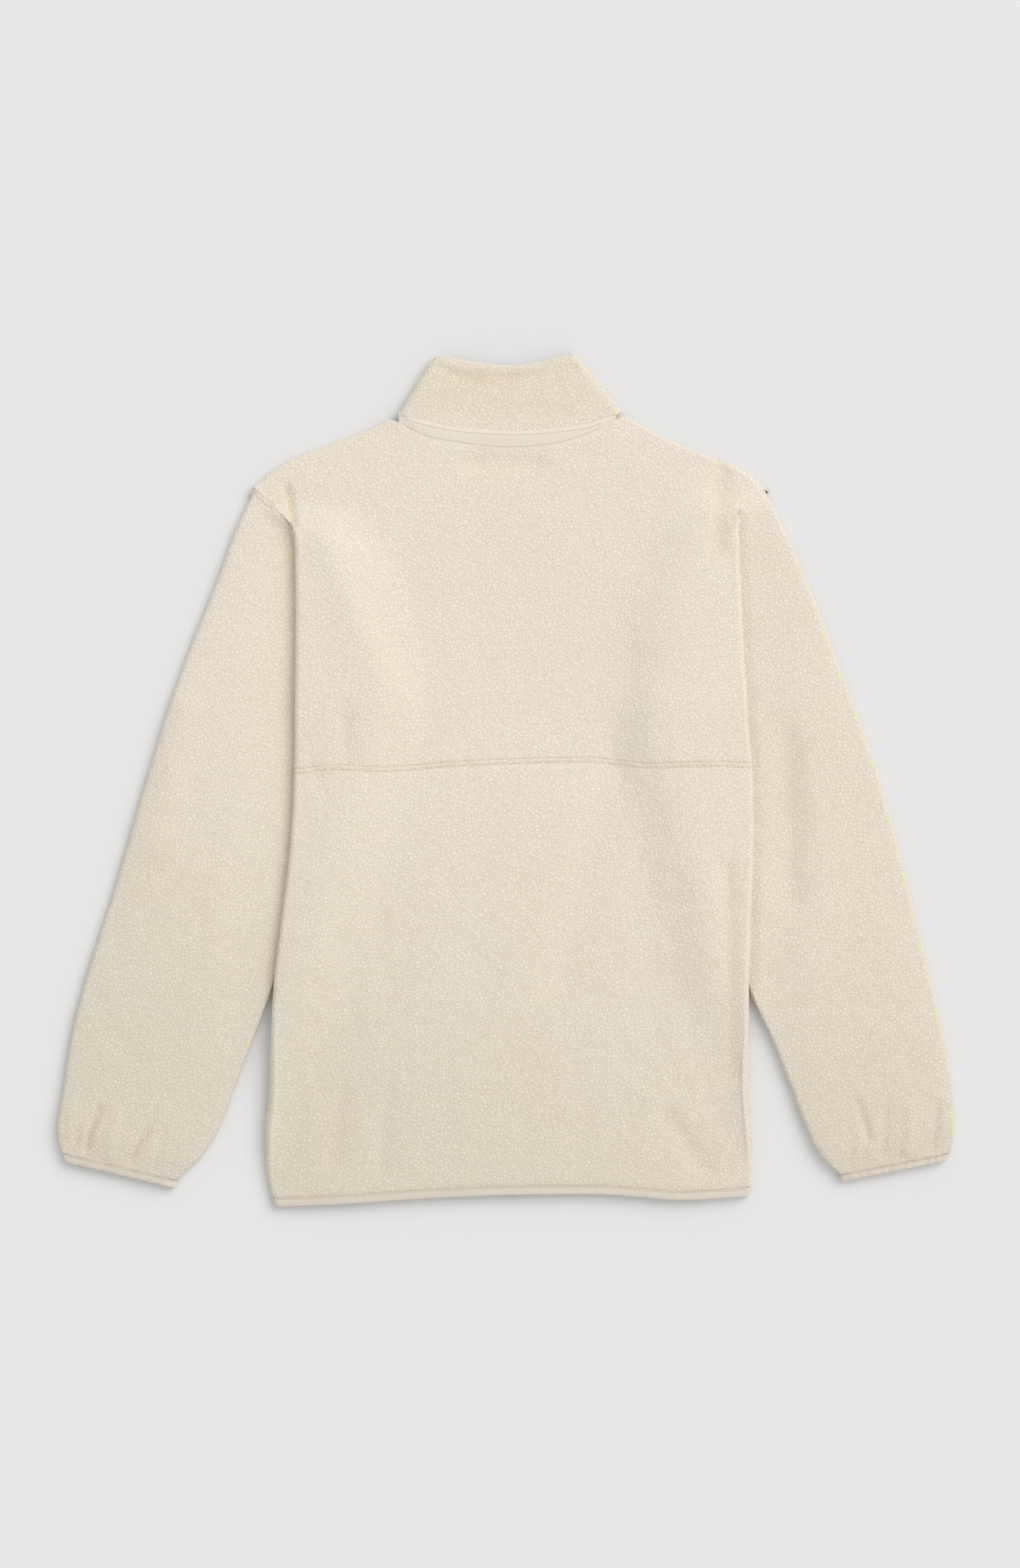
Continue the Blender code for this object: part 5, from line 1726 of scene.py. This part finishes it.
def lap_grid(line, surface, side):
    """Rows across a seam, level with the cloth on both sides, turned down at the tip."""
    profile = [(-place, lift) for place, lift in reversed(LAP_SHAPE[1:])] + list(LAP_SHAPE)
    rows = []
    for n, (middle, along) in enumerate(walk(line, 2.0)):
        across = Vector((-along.y, along.x)) * side
        ends = [middle + across * edge for edge in (-LAP_EDGE, LAP_EDGE)]
        low, high = [height_at(surface, spot.x, spot.y, 7.0) for spot in ends]
        near = 1.0 - smoothstep((n + 0.5) / TIP_PLACES)  # 1 at the shoulder tip
        row = []
        for place, lift in profile:
            spot = middle + across * place * lerp(1.0, TIP_NARROW, near)
            level = lerp(low, high, smoothstep((place + LAP_BLEND) / (2 * LAP_BLEND)))
            row.append(Vector((spot.x, spot.y, level + lift - TIP_FALL * near)))
        rows.append(row)
    return rows


laps = []
for side, line, turn in (("left", armhole_left, 1.0), ("right", armhole_right, -1.0)):
    lap = grid_object(f"armhole_{side}_lap", lap_grid(line, cloth_top, turn))
    face_up(lap)
    subdivide(lap, 2)
    ruffle(lap, 0.15, 0.1)
    thicken(lap, 1.2)
    laps.append(finish_piece(lap, None, fleece))

# %% [markdown]
# Stitches
#
# Coverstitch shows as rows of short thread bars, about 2.5 mm apart, sunk in the grooves
# beside each seam. Each bar is a small six-sided capsule, laid on the cloth below it by a
# ray, and each row is one joined mesh. A dotted texture would not catch the light.

# %% Stitches
STITCH_PITCH, STITCH_LENGTH, STITCH_RADIUS = 2.5, 1.7, 0.33
BAR_RINGS = ((-0.5, 0.0), (-0.4, 0.7), (0.0, 1.0), (0.4, 0.7), (0.5, 0.0))
BAR_SIDES = 6


def ring_quads(start, rings):
    """Quads between neighbouring rings of points."""
    for ring in range(start, start + (rings - 1) * BAR_SIDES, BAR_SIDES):
        for k in range(BAR_SIDES):
            m = (k + 1) % BAR_SIDES
            yield ring + k, ring + m, ring + BAR_SIDES + m, ring + BAR_SIDES + k


def add_bar(verts, faces, middle, along, up):
    """A thread bar, thin at both ends."""
    across = along.cross(up).normalized()
    start = len(verts)
    for reach, girth in BAR_RINGS:
        for k in range(BAR_SIDES):
            turn = math.tau * k / BAR_SIDES
            out = across * math.cos(turn) + up * math.sin(turn)
            spot = middle + along * (reach * STITCH_LENGTH)
            spot += out * (max(girth, 0.05) * STITCH_RADIUS)
            verts.append(tuple(spot * MM))
    faces += ring_quads(start, len(BAR_RINGS))


def stitch_rows(name, lines, surface):
    """Rows of thread bars along lines, as one piece."""
    verts, faces = [], []
    for line in lines:
        for place, along in walk(line, STITCH_PITCH):
            hit, normal = look_down(surface, place.x, place.y)
            if hit is None:
                continue
            flat = along.to_3d()
            lie = (flat - normal * flat.dot(normal)).normalized()
            add_bar(verts, faces, hit / MM + normal * (STITCH_RADIUS * 0.35), lie, normal)
    obj = new_object(name, verts, faces)
    return finish_piece(obj, None, thread)


print("a stitch is", STITCH_LENGTH, "mm long, one every", STITCH_PITCH)

# %% [markdown]
# Rows of stitches
#
# The waist seam, the neck band and the armholes have a row on each side, the hem and the
# cuffs one row along the binding. Each row follows its seam's own line, moved sideways, so
# at all but the cuffs the thread lies in a groove that was pressed for it.

# %% Rows of stitches
def shifted(points, distance):
    """A line moved sideways by a distance, to its left."""
    moved = []
    for n, (x, y) in enumerate(points):
        before, after = points[max(n - 1, 0)], points[min(n + 1, len(points) - 1)]
        dx, dy = after[0] - before[0], after[1] - before[1]
        size = math.hypot(dx, dy)
        moved.append((x - dy / size * distance, y + dx / size * distance))
    return moved


waist_run = line_points(WAIST_SEAM, -192, 224)
waist_rows = [shifted(waist_run, SEAM_STITCH), shifted(waist_run, -SEAM_STITCH)]
stitch_rows("waist_stitches", waist_rows, cloth_top)
neck_low = [(x, top_outline(x) + 1.6) for x in range(-88, 91, 6)]
neck_high = [(x, line_y(NECK_SEAM, x) - 1.0) for x in range(-88, 91, 6)]
stitch_rows("neck_stitches", [neck_low, neck_high], cloth_top)
hem_run = line_points(HEM, -206, 218, shift=HEM_BINDING - 1.3)
stitch_rows("hem_stitches", [hem_run], cloth_top)
for side in ("left", "right"):
    stitch_rows(f"cuff_{side}_stitches", [cuff_runs[side, "stitch"]], cloth_top)
armhole_rows = []
for line in (stitch_left, stitch_right):
    armhole_rows += [shifted(line, -ARMHOLE_LAP), shifted(line, ARMHOLE_LAP)]
stitch_rows("armhole_stitches", armhole_rows, surface_of(*laps))

# %% [markdown]
# Zip
#
# The closed front zip faces the board. Its coil is a nylon spiral sewn along each tape's
# edge, so the two rows of small round teeth mesh down the middle. They are one joined mesh
# from the zip's foot up to the slider. A true spiral would take many more faces, and
# nothing of it shows from above.

# %% Zip
TOOTH_PITCH, TOOTH_HALF, TOOTH_RISE = 2.2, 0.75, 1.15
TOOTH_RINGS = ((-0.6, 0.35), (0.2, 1.0), (1.6, 1.0), (2.8, 0.7), (3.2, 0.35))
TOOTH_FOOT, TOOTH_TOP = -364.0, 306.0
TAPE_Z = 4.8


def add_tooth(verts, faces, x, y, sign):
    """A rounded bar across the meeting line, wrapped round its tape's edge."""
    start = len(verts)
    for reach, girth in TOOTH_RINGS:
        for k in range(BAR_SIDES):
            turn = math.tau * k / BAR_SIDES
            side = y + TOOTH_HALF * girth * math.cos(turn)
            height = TAPE_Z + TOOTH_RISE * girth * math.sin(turn)
            verts.append(tuple(Vector((x + sign * reach, side, height)) * MM))
    for a, b, c, d in ring_quads(start, len(TOOTH_RINGS)):
        faces.append((a, d, c, b) if sign > 0 else (b, c, d, a))
    for ring, flip in ((start, False), (start + (len(TOOTH_RINGS) - 1) * BAR_SIDES, True)):
        cap = [ring + k for k in range(BAR_SIDES)]
        faces.append(cap[::-1] if flip == (sign > 0) else cap)


tooth_verts, tooth_faces = [], []
for n in range(int((TOOTH_TOP - TOOTH_FOOT) / TOOTH_PITCH)):
    y = TOOTH_FOOT + n * TOOTH_PITCH
    add_tooth(tooth_verts, tooth_faces, CENTRE_X, y, 1)
    add_tooth(tooth_verts, tooth_faces, CENTRE_X, y + TOOTH_PITCH / 2, -1)
teeth = new_object("zip_coil", tooth_verts, tooth_faces)
finish_piece(teeth, None, tape)

# %% [markdown]
# What stays of the frame
#
# The tapes, the slider and the pull have their true shape in the solids, so they only get a
# woven and a brushed finish. New meshes would only repeat the solids.

# %% What stays of the frame
KEPT = {"zip_tape_left": tape, "zip_tape_right": tape, "zip_slider": metal, "zip_pull": metal}
for node, material in KEPT.items():
    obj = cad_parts[node]
    for slot in obj.material_slots:
        slot.material = material
    if not obj.material_slots:
        obj.data.materials.append(material)

print(len(KEPT), "nodes of the frame stay in sight, and seven sheets are declared")
